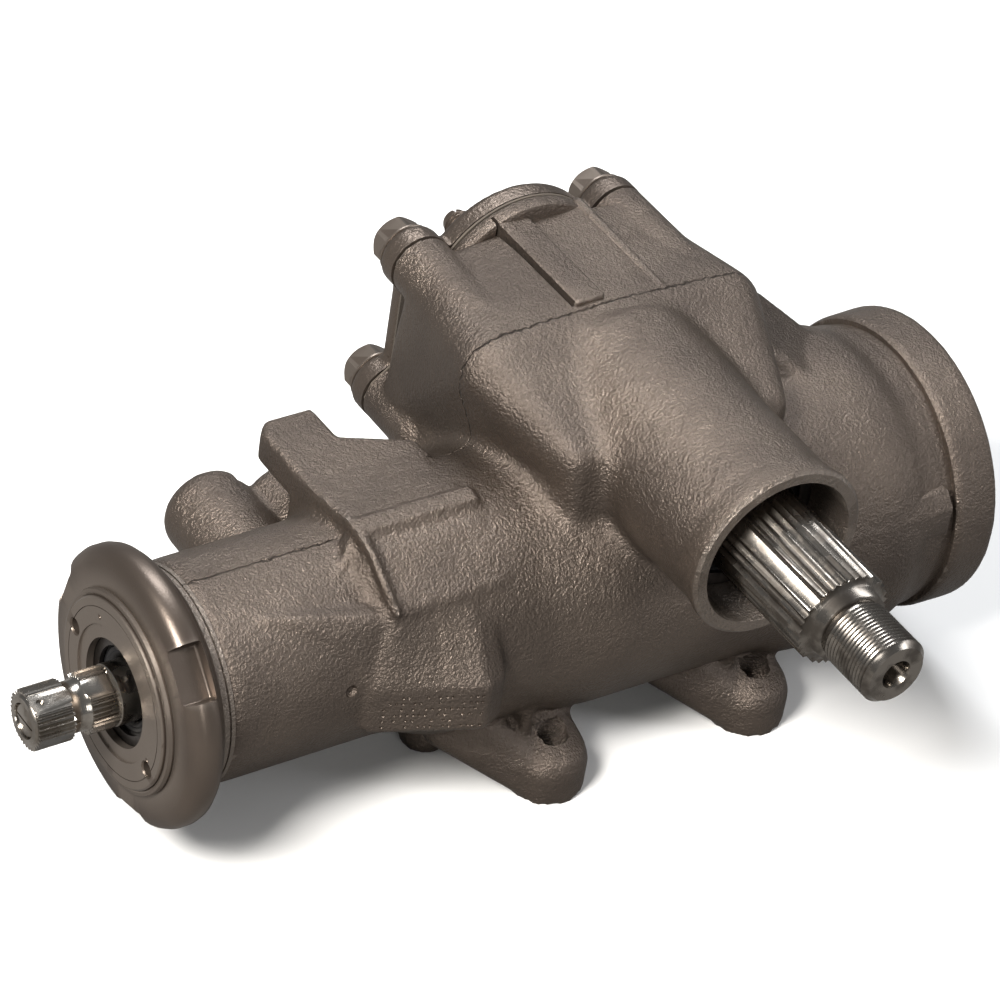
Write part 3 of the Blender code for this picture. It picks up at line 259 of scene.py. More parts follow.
def mapRange(tree, value, low, high, toLow=0.0, toHigh=1.0):
    node = tree.nodes.new("ShaderNodeMapRange")
    node.interpolation_type = "SMOOTHSTEP"
    for label, setting in (("Value", value), ("From Min", low), ("From Max", high),
                           ("To Min", toLow), ("To Max", toHigh)):
        if isinstance(setting, (int, float)):
            node.inputs[label].default_value = setting
        else:
            tree.links.new(setting, node.inputs[label])
    return node.outputs[0]


def noiseNode(tree, vector, scale, detail=2.0, roughness=0.5):
    node = tree.nodes.new("ShaderNodeTexNoise")
    node.inputs["Detail"].default_value = detail
    node.inputs["Roughness"].default_value = roughness
    if isinstance(scale, (int, float)):
        node.inputs["Scale"].default_value = scale
    else:
        tree.links.new(scale, node.inputs["Scale"])
    tree.links.new(vector, node.inputs["Vector"])
    return node.outputs["Fac"]


grainLook = {"detail": 3.0, "roughness": 0.62, "rippleShare": 0.5, "patchScale": 28.0, "patchEnds": (0.35, 0.65)}


def makeSandGrain():
    # The pebbled skin that sand leaves on iron, still plain under thin paint
    group, given, result = startGroup("sandGrain", {"Grain": 620.0, "Ripple": 160.0}, ["Height", "Patch"])
    place = group.nodes.new("ShaderNodeTexCoord").outputs["Object"]
    pebbles = noiseNode(group, place, given.outputs["Grain"], grainLook["detail"], grainLook["roughness"])
    ripples = noiseNode(group, place, given.outputs["Ripple"], 1.0)
    patches = noiseNode(group, place, grainLook["patchScale"])
    coarse = mathNode(group, "MULTIPLY", ripples, grainLook["rippleShare"])
    group.links.new(mathNode(group, "ADD", pebbles, coarse), result.inputs["Height"])
    group.links.new(mapRange(group, patches, *grainLook["patchEnds"]), result.inputs["Patch"])
    return group


def makeEdgeWearAndHighlight():
    # Outer edges, lighter where paint lies thin and with a painted edge highlight
    group, given, result = startGroup("edgeWearAndHighlight", {"Start": 0.54, "End": 0.62}, ["Mask"])
    pointiness = group.nodes.new("ShaderNodeNewGeometry").outputs["Pointiness"]
    mask = mapRange(group, pointiness, given.outputs["Start"], given.outputs["End"])
    group.links.new(mask, result.inputs["Mask"])
    return group


seamWander = {"scale": 420.0, "detail": 3.0, "size": 0.0030}


def makeMouldSeam():
    # The line where the mould halves met: it wanders in the plane Y between two X places, in metres
    group, given, result = startGroup("mouldSeam", {"Plane": 0.0, "Low X": -1.0, "High X": 1.0,
                                                    "Low Z": 0.0, "Width": 0.0004}, ["Mask"])
    place = group.nodes.new("ShaderNodeTexCoord").outputs["Object"]
    parts = group.nodes.new("ShaderNodeSeparateXYZ")
    group.links.new(place, parts.inputs[0])
    size = seamWander["size"]
    wander = mathNode(group, "MULTIPLY_ADD", noiseNode(group, place, seamWander["scale"], seamWander["detail"]),
                      size, -size / 2)
    fromPlane = mathNode(group, "SUBTRACT", parts.outputs["Y"], given.outputs["Plane"])
    offset = mathNode(group, "SUBTRACT", fromPlane, wander)
    near = mapRange(group, mathNode(group, "ABSOLUTE", offset), given.outputs["Width"], 0.0)
    above = mathNode(group, "GREATER_THAN", parts.outputs["Z"], given.outputs["Low Z"])
    right = mathNode(group, "GREATER_THAN", parts.outputs["X"], given.outputs["Low X"])
    left = mathNode(group, "LESS_THAN", parts.outputs["X"], given.outputs["High X"])
    inside = mathNode(group, "MULTIPLY", mathNode(group, "MULTIPLY", above, right), left)
    group.links.new(mathNode(group, "MULTIPLY", near, inside), result.inputs["Mask"])
    return group


stainLook = {"scale": 140.0, "detail": 3.0, "ends": (0.4, 0.66)}


def makeToolMarks():
    # Fine rings left by a lathe, laid along X or Y by the two Along values, and stains
    group, given, result = startGroup("toolMarks", {"Along X": 0.0, "Along Y": 1.0, "Fineness": 2600.0},
                                      ["Height", "Streak"])
    place = group.nodes.new("ShaderNodeTexCoord").outputs["Object"]
    parts = group.nodes.new("ShaderNodeSeparateXYZ")
    group.links.new(place, parts.inputs[0])
    along = mathNode(group, "ADD", mathNode(group, "MULTIPLY", parts.outputs["X"], given.outputs["Along X"]),
                     mathNode(group, "MULTIPLY", parts.outputs["Y"], given.outputs["Along Y"]))
    stretched = group.nodes.new("ShaderNodeCombineXYZ")
    group.links.new(mathNode(group, "MULTIPLY", along, given.outputs["Fineness"]), stretched.inputs["X"])
    rings = noiseNode(group, stretched.outputs[0], 1.0)
    stains = noiseNode(group, place, stainLook["scale"], stainLook["detail"])
    group.links.new(rings, result.inputs["Height"])
    group.links.new(mapRange(group, stains, *stainLook["ends"]), result.inputs["Streak"])
    return group


sandGrain = makeSandGrain()
edgeWearAndHighlight = makeEdgeWearAndHighlight()
mouldSeam = makeMouldSeam()
toolMarks = makeToolMarks()


def useGroup(tree, group, **values):
    node = tree.nodes.new("ShaderNodeGroup")
    node.node_tree = group
    for label, value in values.items():
        node.inputs[label.replace("_", " ")].default_value = value
    return node


def blendColours(tree, mask, first, second):
    node = tree.nodes.new("ShaderNodeMix")
    node.data_type = "RGBA"
    tree.links.new(mask, node.inputs["Factor"])
    for socket, colour in ((node.inputs["A"], first), (node.inputs["B"], second)):
        if isinstance(colour, tuple):
            socket.default_value = (*colour, 1)
        else:
            tree.links.new(colour, socket)
    return node.outputs["Result"]


def startMaterial(name, metallic, roughness):
    material = bpy.data.materials.new(name)
    material.use_nodes = True
    tree = material.node_tree
    shader = tree.nodes["Principled BSDF"]
    shader.inputs["Metallic"].default_value = metallic
    shader.inputs["Roughness"].default_value = roughness
    return material, tree, shader


def addBump(tree, shader, height, distance, strength):
    bump = tree.nodes.new("ShaderNodeBump")
    bump.inputs["Distance"].default_value = distance
    bump.inputs["Strength"].default_value = strength
    tree.links.new(height, bump.inputs["Height"])
    tree.links.new(bump.outputs["Normal"], shader.inputs["Normal"])


# thin is the lighter colour of the convex edges: partly paint worn thin, partly a painted edge highlight
paintLook = {"base": (0.158, 0.127, 0.104), "thinPaintAndHighlight": (0.29, 0.25, 0.215), "dust": (0.118, 0.095, 0.079),
             "seam": (0.02, 0.016, 0.013), "metallic": 0.80, "roughness": (0.30, 0.38), "bumpDistance": 0.0010,
             "edgeStart": 0.535, "edgeEnd": 0.60, "edgeWearAndHighlightShare": 0.55, "seamShare": 0.8, "seamDepth": 1.2}
seamPlaces = {"neck": {"plane": 0.5, "lowX": -157.5, "highX": -106.0, "lowZ": 20.0, "width": 0.45},
              "dome": {"plane": 19.5, "lowX": -62.0, "highX": 58.0, "lowZ": 34.0, "width": 0.45}}


def paintMaterial(name, grain, strength, seams=False):
    material, tree, shader = startMaterial(name, paintLook["metallic"], paintLook["roughness"][0])
    sand = useGroup(tree, sandGrain, Grain=grain, Ripple=grain / 4)
    edgeWearAndHighlightNode = useGroup(tree, edgeWearAndHighlight, Start=paintLook["edgeStart"], End=paintLook["edgeEnd"])
    body = blendColours(tree, sand.outputs["Patch"], paintLook["base"], paintLook["dust"])
    # Convex edges take the lighter colour: partly worn paint, partly a painted edge highlight
    edgeWearAndHighlightAmount = mathNode(tree, "MULTIPLY", edgeWearAndHighlightNode.outputs["Mask"], paintLook["edgeWearAndHighlightShare"])
    colour = blendColours(tree, edgeWearAndHighlightAmount, body, paintLook["thinPaintAndHighlight"])
    height = sand.outputs["Height"]
    for place in seamPlaces.values() if seams else ():
        corner = at(place["lowX"], place["plane"], place["lowZ"])
        seam = useGroup(tree, mouldSeam, Plane=corner.y, Low_X=corner.x, High_X=at(place["highX"], 0, 0).x,
                        Low_Z=corner.z, Width=place["width"] / 1000).outputs["Mask"]
        colour = blendColours(tree, mathNode(tree, "MULTIPLY", seam, paintLook["seamShare"]), colour,
                              paintLook["seam"])
        depth = mathNode(tree, "MULTIPLY", seam, paintLook["seamDepth"])
        height = mathNode(tree, "SUBTRACT", height, depth)
    tree.links.new(colour, shader.inputs["Base Color"])
    tree.links.new(mapRange(tree, sand.outputs["Patch"], 0.0, 1.0, *paintLook["roughness"]),
                   shader.inputs["Roughness"])
    addBump(tree, shader, height, paintLook["bumpDistance"], strength)
    return material


def steelMaterial(name, colour, stain, roughness, fineness, alongX=0.0, strength=0.12):
    material, tree, shader = startMaterial(name, 1.0, roughness)
    marks = useGroup(tree, toolMarks, Along_X=alongX, Along_Y=1.0 - alongX, Fineness=fineness)
    tree.links.new(blendColours(tree, marks.outputs["Streak"], colour, stain), shader.inputs["Base Color"])
    tree.links.new(mapRange(tree, marks.outputs["Streak"], 0.0, 1.0, roughness - 0.05, roughness + 0.1),
                   shader.inputs["Roughness"])
    addBump(tree, shader, marks.outputs["Height"], 0.0002, strength)
    return material


def softMaterial(name, colour, dusty, roughness, grain):
    material, tree, shader = startMaterial(name, 0.0, roughness)
    sand = useGroup(tree, sandGrain, Grain=grain, Ripple=grain / 5)
    tree.links.new(blendColours(tree, sand.outputs["Patch"], colour, dusty), shader.inputs["Base Color"])
    addBump(tree, shader, sand.outputs["Height"], 0.0001, 0.3)
    return material


paintGrains = {"castPaint": (1050.0, 0.75, True), "coverPaint": (900.0, 0.45), "smoothPaint": (1500.0, 0.07)}
# Colour, stain, roughness, fineness of the lathe's rings, and 1 where the rings lie along X
steelLooks = {
    "turnedSteelOutput": ((0.30, 0.275, 0.245), (0.13, 0.115, 0.10), 0.26, 3200.0),
    "turnedSteelInput": ((0.46, 0.43, 0.39), (0.25, 0.225, 0.195), 0.22, 3200.0, 1.0),
    "groundSteel": ((0.42, 0.41, 0.40), (0.30, 0.28, 0.26), 0.30, 4000.0, 1.0),
    "springSteel": ((0.12, 0.11, 0.105), (0.06, 0.055, 0.05), 0.36, 2000.0, 1.0),
    "bearingSteel": ((0.66, 0.66, 0.66), (0.5, 0.5, 0.49), 0.16, 5000.0),
    "turnedBrass": ((0.62, 0.44, 0.18), (0.42, 0.29, 0.12), 0.30, 2600.0),
    "bearingBronze": ((0.48, 0.30, 0.15), (0.33, 0.21, 0.11), 0.38, 1600.0)}
# Colour, dusty colour, roughness and grain
softLooks = {
    "blackRubber": ((0.010, 0.010, 0.011), (0.030, 0.028, 0.026), 0.5, 1800.0),
    "sealPlastic": ((0.50, 0.48, 0.43), (0.42, 0.39, 0.34), 0.45, 1500.0),
    "gasketFibre": ((0.075, 0.062, 0.05), (0.11, 0.09, 0.07), 0.85, 2400.0)}
finishes = {}
for makeFinish, looks in ((paintMaterial, paintGrains), (steelMaterial, steelLooks), (softMaterial, softLooks)):
    finishes.update({name: makeFinish(name, *values) for name, values in looks.items()})
print("finishes made")


# The iron housing: soft lumps melted together, then crisper ones, then the machined cuts
casting = {
    "barrel": [(-157.5, 0), (-157.5, 34.5), (-150, 34.6), (-98, 34.7), (-90, 36.6), (-83, 39.6), (-76, 41.2),
               (-50, 41.8), (-40, 43.6), (-28, 45.6), (36, 46.0), (46, 49.4), (60, 50.6), (75, 51.0), (83, 50.0),
               (88, 47.0), (98, 47.0), (98, 0)],
    "tube": [(-73.5, 0), (-73.5, 28.4), (-30, 28.8), (-14, 29.8), (12, 30.6), (12, 0)],
    "rim": [(98.6, 0), (98.6, 47.6), (99.6, 48.6), (113.2, 48.9), (114.8, 48.0), (114.8, 0)],
    "rimEnd": 114.0, "coverFace": 70.5, "hubRoom": 26.2, "lowerRoom": 36.4, "roomRoof": 7,
    "collar": [(-161.0, 0), (-161.0, 33.4), (-160.2, 34.3), (-156.0, 34.3), (-156, 0)],
    "mouth": [(-75.3, 0), (-75.3, 28.6), (-74.3, 29.7), (-72.0, 29.7), (-67.5, 28.6), (-64, 28.2), (-64, 0)],
    "bolts": [(-36.5, 68.0), (36.5, 68.0), (-41.0, 19.8), (41.0, 19.8)],
    "shelfLeft": -103.0, "shelfRight": -64.0,
    "shelf": [(-30.2, 27.8), (-14.3, 38.5), (-9.0, 40.2), (0.0, 41.2), (17.4, 37.2), (28.0, 30.0), (30.0, 20.0)],
    "markLow": -11.4, "markHigh": 6.4,
    "markPlan": [(-109.9, -35.4), (-93.6, -41.9), (-77.4, -48.3), (-71.0, -45.6), (-67.4, -38.0)],
    "footX": 38.6, "footY": 34.0, "footRadius": 12.6, "padBottom": -58.0, "footTop": -42.5,
}
# The two hose ports: x, z, machined face, and the boss's end, radius and rounding
ports = [(-111.0, 1.0, 66.7, 66.7, 14.6, 4.5), (-87.3, 1.0, 58.7, 60.0, 14.2, 3.0)]
portLook = {"depth": 17, "radius": 8.0, "crest": 7.3, "pitch": 1.2, "turns": 11}
boreLook = {
    "main": [(-76, 0), (-76, 38.1), (102.2, 38.1), (102.2, 39.1), (109.2, 39.1), (109.2, 40.7), (111.2, 40.7),
             (111.2, 39.1), (112.6, 39.1), (114.2, 40.9), (117, 41), (117, 0)],
    "valve": [(-170, 0), (-170, 30.9), (-140.6, 30.9), (-140.6, 25.4), (-84.2, 25.4), (-84.2, 11.5), (-70, 11.5),
              (-70, 0)],
    "pitman": [(-80, 0), (-80, 26.4), (-75.3, 25.4), (-74.3, 24.8), (-57.0, 24.8), (-57.0, 26.4), (-55.2, 26.4),
               (-55.2, 24.8), (-47.0, 24.8), (-47.0, 22.3), (-21.7, 22.3), (-21.7, 19.6), (-10, 19.6), (-10, 0)],
    "stepGroove": [(-157.9, 33.9), (-157.9, 40), (-157.3, 40), (-157.3, 33.9)],
    "rimGroove": [(94.6, 46.0), (95.6, 60), (98.9, 60), (98.7, 46.0)]}


def feet():
    return [(side * casting["footX"], end * casting["footY"]) for side in (-1, 1) for end in (-1, 1)]


def softForm():
    # The room's flanks, the barrel and the pitman tube, melted together with generous radii
    rearY = casting["coverFace"] - 4
    balls, discs = [], [(0, rearY, outputHeight, 27.6, "Y"), (0, 18, outputHeight, 28.2, "Y"),
                        (0, -26.0, 20, 36, "Y")]
    for side in (-1, 1):
        discs += [(side * 42.5, 18, 66.0, 12.5, "Y"), (side * 35.0, 22, 6, 18, "Y"),
                  (side * 36.0, rearY, 65.0, 9.4, "Y"), (side * 40.0, rearY, 20, 9.0, "Y")]
        balls += [(side * x, -22.0, z, 2.4) for x, z in ((37.6, 59.0), (37.6, 51.0), (33.0, 32.0))]
    room = wrapped("room", balls, discs)
    barrel = turned("barrel", casting["barrel"], "X", steps=72)
    tube = turned("tube", casting["tube"], "Y", (0, 0, outputHeight), 72)
    return melted("softForm", [room, barrel, tube], 2.2, 8)


def roundLumps():
    # What blends into the body: bolt tubes, port bosses, feet and webs
    lumps = []
    face = casting["coverFace"]
    for x, z in casting["bolts"]:
        lumps.append(rod("boltTube", 10.3, 33.0 if z > 40 else 46.0, face + 6, "Y", (x, 0, z), 32, 3.0))
    for x, z, _, bossEnd, bossRadius, rounding in ports:
        lumps.append(rod("portBoss", bossRadius, 0, bossEnd, "Y", (x, 0, z), 48, rounding))
    bottom, radius = casting["padBottom"], casting["footRadius"]
    for x, y in feet():
        inward = -math.copysign(1, y)
        lumps.append(wrapped("foot", [(x, y + inward * 26, -36, 11.0), (x, y + inward * 26, -48, 9.0)],
                             [(x, y, bottom, radius, "Z"), (x, y, bottom + 11, radius, "Z"),
                              (x, y, casting["footTop"], radius - 1.6, "Z")]))
        lumps.append(wrapped("footRib", [(x - 9.5, y + inward * dy, z, 2.4)
                                         for dy, z in ((2, -50), (2, -14), (22, -50), (22, -8))]))
        if y < 0:
            lumps.append(wrapped("footWeb", [(x - 34, y + 13, -36, 5), (x - 30, y + 16, -26, 6)],
                                 [(x - 2, y, bottom + 1, 10.5, "Z"), (x - 2, y, bottom + 9, 10.5, "Z")]))
        lumps.append(wrapped("footEdge", [(x + 9.5, y + inward * dy, z, 2.4)
                                          for dy, z in ((8, -50), (8, -18), (22, -50), (22, -18))]))
    lumps.append(wrapped("lowerWeb", [(34, -40, 2, 3), (34, -32, 30, 3), (86, -40, -14, 3), (86, -36, -18, 3),
                                      (34, -30, -10, 3)]))
    lumps.append(wrapped("shoulderWeb", [(48, 14, 56, 6), (62, 28, 55, 4.5), (78, 12, 43, 4), (62, -6, 46, 4),
                                         (40, 0, 40, 5)]))
    lumps.append(wrapped("thirdPad", [(-64, -4, -38, 8), (-60, 4, -30, 8)],
                         [(-65, -4, bottom + 2, 7.4, "Z"), (-65, -4, bottom + 5, 8, "Z")]))
    lumps.append(wrapped("blockFillet", [(-72, -36, 0, 4), (-72, -34, -10, 4), (-60, -28, -8, 7),
                                         (-84, -24, -16, 8)]))
    lumps.append(turned("rim", casting["rim"], "X", steps=96))
    return lumps


def shelfLumps():
    # The shelf that steps up from the neck, its ear, and the block with the dotted flat
    lumps = []
    left, right = casting["shelfLeft"], casting["shelfRight"]
    lumps.append(wrapped("plateau", [(x, y, z, 1.0) for x in (left + 1, right) for y, z in
                                     ((-1, 40.8), (19, 37.2), (30, 36.4), (30, 20), (0, 20))]))
    lumps.append(wrapped("shelf", [(x, y, z, 1.0) for x in (left + 1, right) for y, z in casting["shelf"]]
                         + [(right, 0, 0, 5), (left + 12, 0, 10, 5)]))
    lumps.append(wrapped("shelfBar", [(x, y, z, 0.8) for x in (left + 1.2, right + 2)
                                      for y, z in ((-8.6, 42.6), (-3.0, 43.4), (-8.4, 36), (-1.4, 36))]))
    lumps.append(wrapped("endSlope", [(left + 1, -2, 40.8, 1.0), (left + 1, -14.3, 38.4, 1.0),
                                      (left + 1, -30.2, 27.2, 1.0), (-107.0, -4, 33.8, 0.8),
                                      (-107.5, -15, 30.6, 0.8), (-106.0, -27, 21.4, 0.8), (left + 4, -10, 20, 2)]))
    beads = [(left - 0.4, -1.5, 43.2), (left - 0.4, -9.0, 42.4), (left, -14.6, 40.6), (left + 0.6, -31.2, 29.4)]
    for first, second in zip(beads, beads[1:]):
        lumps.append(wrapped("bead", [(*first, 1.3), (*second, 1.3), (left + 3, -8, 30, 2)]))
    lumps.append(wrapped("endRib", [(left - 2, -6, 38.0, 1.0), (-110.5, -11, 32.6, 1.0), (left + 2, -8, 26, 2)]))
    lumps.append(wrapped("earPlate", [(x, y, z, 1.6) for x, y in ((-101.2, 2), (-101.2, 49.6), (-98.2, 53.3),
                                                                 (-83.2, 53.3), (-82.6, 2)) for z in (28.6, 36.8)]))
    lumps.append(wrapped("earFillet", [(x, y, z, 1.6) for x, y in ((-84, 39), (-81, 34.5), (-76, 31.5), (-62, 28),
                                                                  (-60, 2), (-84, 2)) for z in (28.6, 36.8)]))
    lumps.append(wrapped("earWeb", [(-95, 8, 24, 4), (-95, 26, 28, 3), (-66, 26, 28, 3), (-66, 8, 20, 4)]))
    low, high = casting["markLow"] + 1.2, casting["markHigh"] - 1.0
    corners, slices = [], 6
    for (x0, y0), (x1, y1) in zip(casting["markPlan"], casting["markPlan"][1:]):
        corners += [(x0 + (x1 - x0) * step / slices, y0 + (y1 - y0) * step / slices) for step in range(slices)]
    corners.append(casting["markPlan"][-1])
    for (x0, y0), (x1, y1) in zip(corners, corners[1:]):
        lumps.append(wrapped("markBlock", [
            point for x, y in ((x0, y0), (x1, y1)) for point in
            ((x, y, low, 1.1), (x, y, high, 1.1), (max(x, left + 1), -29.8, 27.0, 1.0), (x, -24, low + 1, 2),
             (x + 2, -8, 10, 5))]))
    ridge = [(-140.0, -17.8, 29.8), (-130, -22.4, 26.4), (-122, -26.6, 22.4), (-115.5, -30.4, 16.2),
             (-109.8, -34.8, 5.2)]
    for first, second in zip(ridge, ridge[1:]):
        lumps.append(wrapped("ridge", [(*first, 1.2), (*second, 1.2), (-104, -28, 26.5, 1.2), (-104, -10, 24, 2),
                                       (first[0], first[1] * 0.8, first[2] * 0.8, 1)]))
    return lumps


def crispLumps():
    # What keeps its edges: the cover's rim and the strips on the roof
    lumps = []
    face = casting["coverFace"]
    lumps.append(rod("flangeDisc", 32.6, face - 5.5, face, "Y", (0, 0, outputHeight), 72, 1.2))
    lumps.append(block("topStrip", (-13.6, 21.4, 66), (-2.4, face - 0.1, 81.6), 1.1, 3))
    lumps.append(block("topFlat", (-4.0, 23.0, 66), (17.0, face - 0.1, 79.9), 0.9))
    lumps.append(wrapped("topRidge", [(18.2, 21.5, 77.2, 2.6), (18.2, face - 2.6, 78.2, 2.6),
                                      (18.2, 21.5, 66, 2.6), (18.2, face - 2.6, 66, 2.6)]))
    lumps.append(wrapped("roofRight", [(x, y, z, 1.5) for x, y, z in
                                       ((20, 20, 77.5), (41, 20, 76.0), (20, 64, 77.5), (39, 64, 74.5),
                                        (20, 20, 60), (45, 20, 60), (20, 64, 60), (40, 64, 60))]))
    lumps.append(wrapped("passage", [(x, y, z, 1.8) for x in (30, 94.5) for y, z in
                                     ((-43.0, 20.5), (-46.0, 17.0), (-46.0, 8.5), (-43.0, 5.5), (-18, 21), (-18, 5))]))
    return lumps


def threadProfile(start, end, radius, pitch, depth):
    # Rings of thread crests between two places
    points = []
    place = start
    while place + pitch <= end:
        points += [(place, radius - depth), (place + 0.38 * pitch, radius), (place + 0.56 * pitch, radius)]
        place += pitch
    return points + [(place, radius - depth)]


def grooves(start, count, pitch, outer, inner):
    # A bore's plain thread: rings that step between two radii
    return [point for i in range(count) for point in
            ((start + i * pitch, outer), (start + (i + 0.5) * pitch, inner))]


markLook = {"start": (-109.2, -36.9), "end": (-77.8, -49.4), "lowZ": -9.6, "highZ": 4.0, "count": 60,
            "radius": 0.675, "rows": 6, "columns": 17, "jitter": 0.12, "slot": (-116.8, -34.2, 6.4),
            "slotRadius": 2.1}


def machinedCuts():
    # Flat faces first, then the bores and threads, and last the narrow grooves
    face = casting["coverFace"]
    centre = (0, 0, outputHeight)
    cuts = [block("endFaceCut", (casting["rimEnd"], -70, -70), (140, 70, 70)),
            block("coverFaceCut", (-70, face, -20), (70, face + 30, 100)),
            block("padCut", (-100, -70, -80), (80, 70, casting["padBottom"]))]
    for x, y in feet():
        cuts.append(turned("footThread", [(-60, 0)] + grooves(-60, 18, 1.3, 5.5, 4.9) + [(-36, 5.4), (-34.5, 0)],
                           "Z", (x, y, 0), 40))
    cuts += [turned("mainBoreCut", boreLook["main"], "X", steps=96),
             turned("valveBoreCut", boreLook["valve"], "X", steps=96),
             turned("pitmanBoreCut", boreLook["pitman"], "Y", centre, 96),
             rod("hubRoom", casting["hubRoom"], -20.5, face + 5, "Y", centre, 64)]
    lowerRoom = rod("lowerRoom", casting["lowerRoom"], -19.5, face + 5, "Y", centre, 64)
    roof = block("roof", (-60, -40, outputHeight + casting["roomRoof"]), (60, face + 20, 120))
    cuts.append(carved(lowerRoom, [roof]))
    for x, z in casting["bolts"]:
        cuts.append(rod("boltHole", 5.0, face - 25, face + 5, "Y", (x, 0, z), 24))
    radius = portLook["radius"]
    for x, z, portFace, *_ in ports:
        floor = portFace - portLook["depth"]
        thread = grooves(floor + 3, portLook["turns"], portLook["pitch"], radius, portLook["crest"])
        cuts.append(turned("portBore", [(0, 0), (0, 3.4), (floor - 6.3, 3.4), (floor - 6.3, 6.9), (floor, 6.9),
                                        (floor, radius)] + thread
                           + [(portFace - 0.8, radius), (portFace + 0.4, 9.4), (portFace + 10, 9.6),
                              (portFace + 10, 0)], "Y", (x, 0, z), 40))
        cuts.append(rod("portFaceCut", 20, portFace, portFace + 12, "Y", (x, 0, z), 40))
    bpy.ops.mesh.primitive_uv_sphere_add(segments=24, ring_count=12, radius=markLook["slotRadius"] / 1000,
                                         location=at(*markLook["slot"]))
    cuts.append(newPiece("slotHole"))
    cuts.append(block("stripGroove", (-14.3, 22.0, 76.5), (-13.3, 69, 90)))
    for name in ("stepGroove", "rimGroove"):
        cuts.append(turned(name, boreLook[name], "X", steps=96, closed=True))
    return cuts


def markDots():
    # A generic field of punched dots: a seeded scatter on a grid, which spells nothing
    random.seed(7)
    rows, columns, jitter = markLook["rows"], markLook["columns"], markLook["jitter"]
    low, high = markLook["lowZ"], markLook["highZ"]
    start, end = Vector(markLook["start"]), Vector(markLook["end"])
    places = [(i, j) for i in range(columns) for j in range(rows)]
    random.shuffle(places)
    dots = []
    for i, j in places[:markLook["count"]]:
        x, y = start.lerp(end, (i + 1.2 + random.uniform(-jitter, jitter)) / (columns + 1))
        bpy.ops.mesh.primitive_ico_sphere_add(subdivisions=1, radius=markLook["radius"] / 1000,
                                              location=at(x, y, low + (j + 0.5) / rows * (high - low)))
        dots.append(newPiece("dot"))
    return joined("dots", dots)


def makeCasting():
    soft = softForm()
    print("soft form", len(soft.data.polygons))
    body = melted("body", [soft] + roundLumps() + shelfLumps(), 1.3, 2)
    print("casting melted", len(body.data.polygons))
    carved(body, crispLumps(), "UNION")
    collar = turned("collar", casting["collar"], "X", steps=96)
    mouth = turned("mouth", casting["mouth"], "Y", (0, 0, outputHeight), 96)
    carved(body, [collar, mouth], "UNION")
    carved(body, machinedCuts() + [markDots()])
    print("casting cut", len(body.data.polygons))
    finished(body, "gearCasting", "gear_housing", "castPaint", 38)


makeCasting()


# Side cover, its four bolts and the lash adjuster
coverLook = {"start": 71.8, "end": 79.2, "discRadius": 32.4, "hubRadius": 16.5, "hubEnd": 85.2, "boltSeat": 79.5,
             "lobe": 10.4, "seat": 10.6, "bore": 5.2, "boltHole": 5.0,
             "sleeve": [(36.0, 19.2), (36.0, 24.0), (72.8, 24.0), (72.8, 19.2)]}


def makeCover():
    start, end = coverLook["start"], coverLook["end"]
    centre = (0, 0, outputHeight)
    lumps = [wrapped("plate", [(side * 38, y, z, 4.5) for side in (-1, 1) for y in (start + 2, end - 4.6)
                               for z in (59, 14)]),
             rod("disc", coverLook["discRadius"], start - 3, end, "Y", centre, 64, 2.2),
             rod("hub", coverLook["hubRadius"], start, coverLook["hubEnd"], "Y", centre, 48, 2.0)]
    cuts = [block("face", (-80, start - 12, -30), (80, start, 110)),
            rod("bore", coverLook["bore"], 60, 95, "Y", centre, 32)]
    for x, z in casting["bolts"]:
        lumps.append(rod("lobe", coverLook["lobe"], start - 3, end, "Y", (x, 0, z), 32, 1.6))
        lumps.append(wrapped("rib", [(x * share, end + rise, outputHeight + (z - outputHeight) * share, 2.8)
                                     for share, rise in ((0.75, -2.6), (0.3, 1.0))]))
        cuts += [rod("hole", coverLook["boltHole"], start - 5, end + 8, "Y", (x, 0, z), 24),
                 rod("seat", coverLook["seat"], end, end + 6, "Y", (x, 0, z), 32)]
    cover = carved(melted("cover", lumps, 1.1, 4), cuts)
    carved(cover, [turned("sleeve", coverLook["sleeve"], "Y", centre, 48, closed=True)], "UNION")
    finished(cover, "coverCasting", "side_cover", "coverPaint", 38)


boltLook = {"flangeRadius": 9.2, "flangeHeight": 1.7, "acrossFlats": 14.3, "headHeight": 6.6, "shankRadius": 4.7,
            "point": 48.5}


def hexagon(name, corner, start, end, centre):
    bpy.ops.mesh.primitive_cylinder_add(vertices=6, radius=corner / 1000, depth=(end - start) / 1000,
                                        location=at(centre[0], (start + end) / 2, centre[2]),
                                        rotation=axisTurns["Y"].to_euler())
    return newPiece(name)


def makeBolt():
    # One flanged hexagon bolt, modelled at the first seat and copied to the rest
    x, z = casting["bolts"][0]
    centre = (x, 0, z)
    seat, point = coverLook["boltSeat"], boltLook["point"]
    radius, flange = boltLook["shankRadius"], boltLook["flangeRadius"]
    flangeTop = seat + boltLook["flangeHeight"]
    top = flangeTop + boltLook["headHeight"]
    shank = turned("shank", [(point, 0), (point, 3.8), (point + 1, radius), (seat, radius), (seat, 8.8),
                             (seat + 0.3, flange), (seat + 0.9, flange), (flangeTop, 7.2), (seat + 2.4, 6.6),
                             (seat + 2.4, 0)], "Y", centre, 48)
    head = hexagon("head", boltLook["acrossFlats"] / math.sqrt(3), seat + 1, top, centre)
    chamfer = turned("chamfer", [(seat, 0), (seat, 12), (top - 2.2, 9.4), (top, 6.9), (top, 0)], "Y", centre, 48)
    dish = turned("dish", [(top - 0.5, 0), (top - 0.5, 4.6), (top + 1, 5.4), (top + 1, 0)], "Y", centre, 32)
    carved(head, [chamfer], "INTERSECT")
    carved(head, [dish])
    return carved(shank, [head], "UNION")


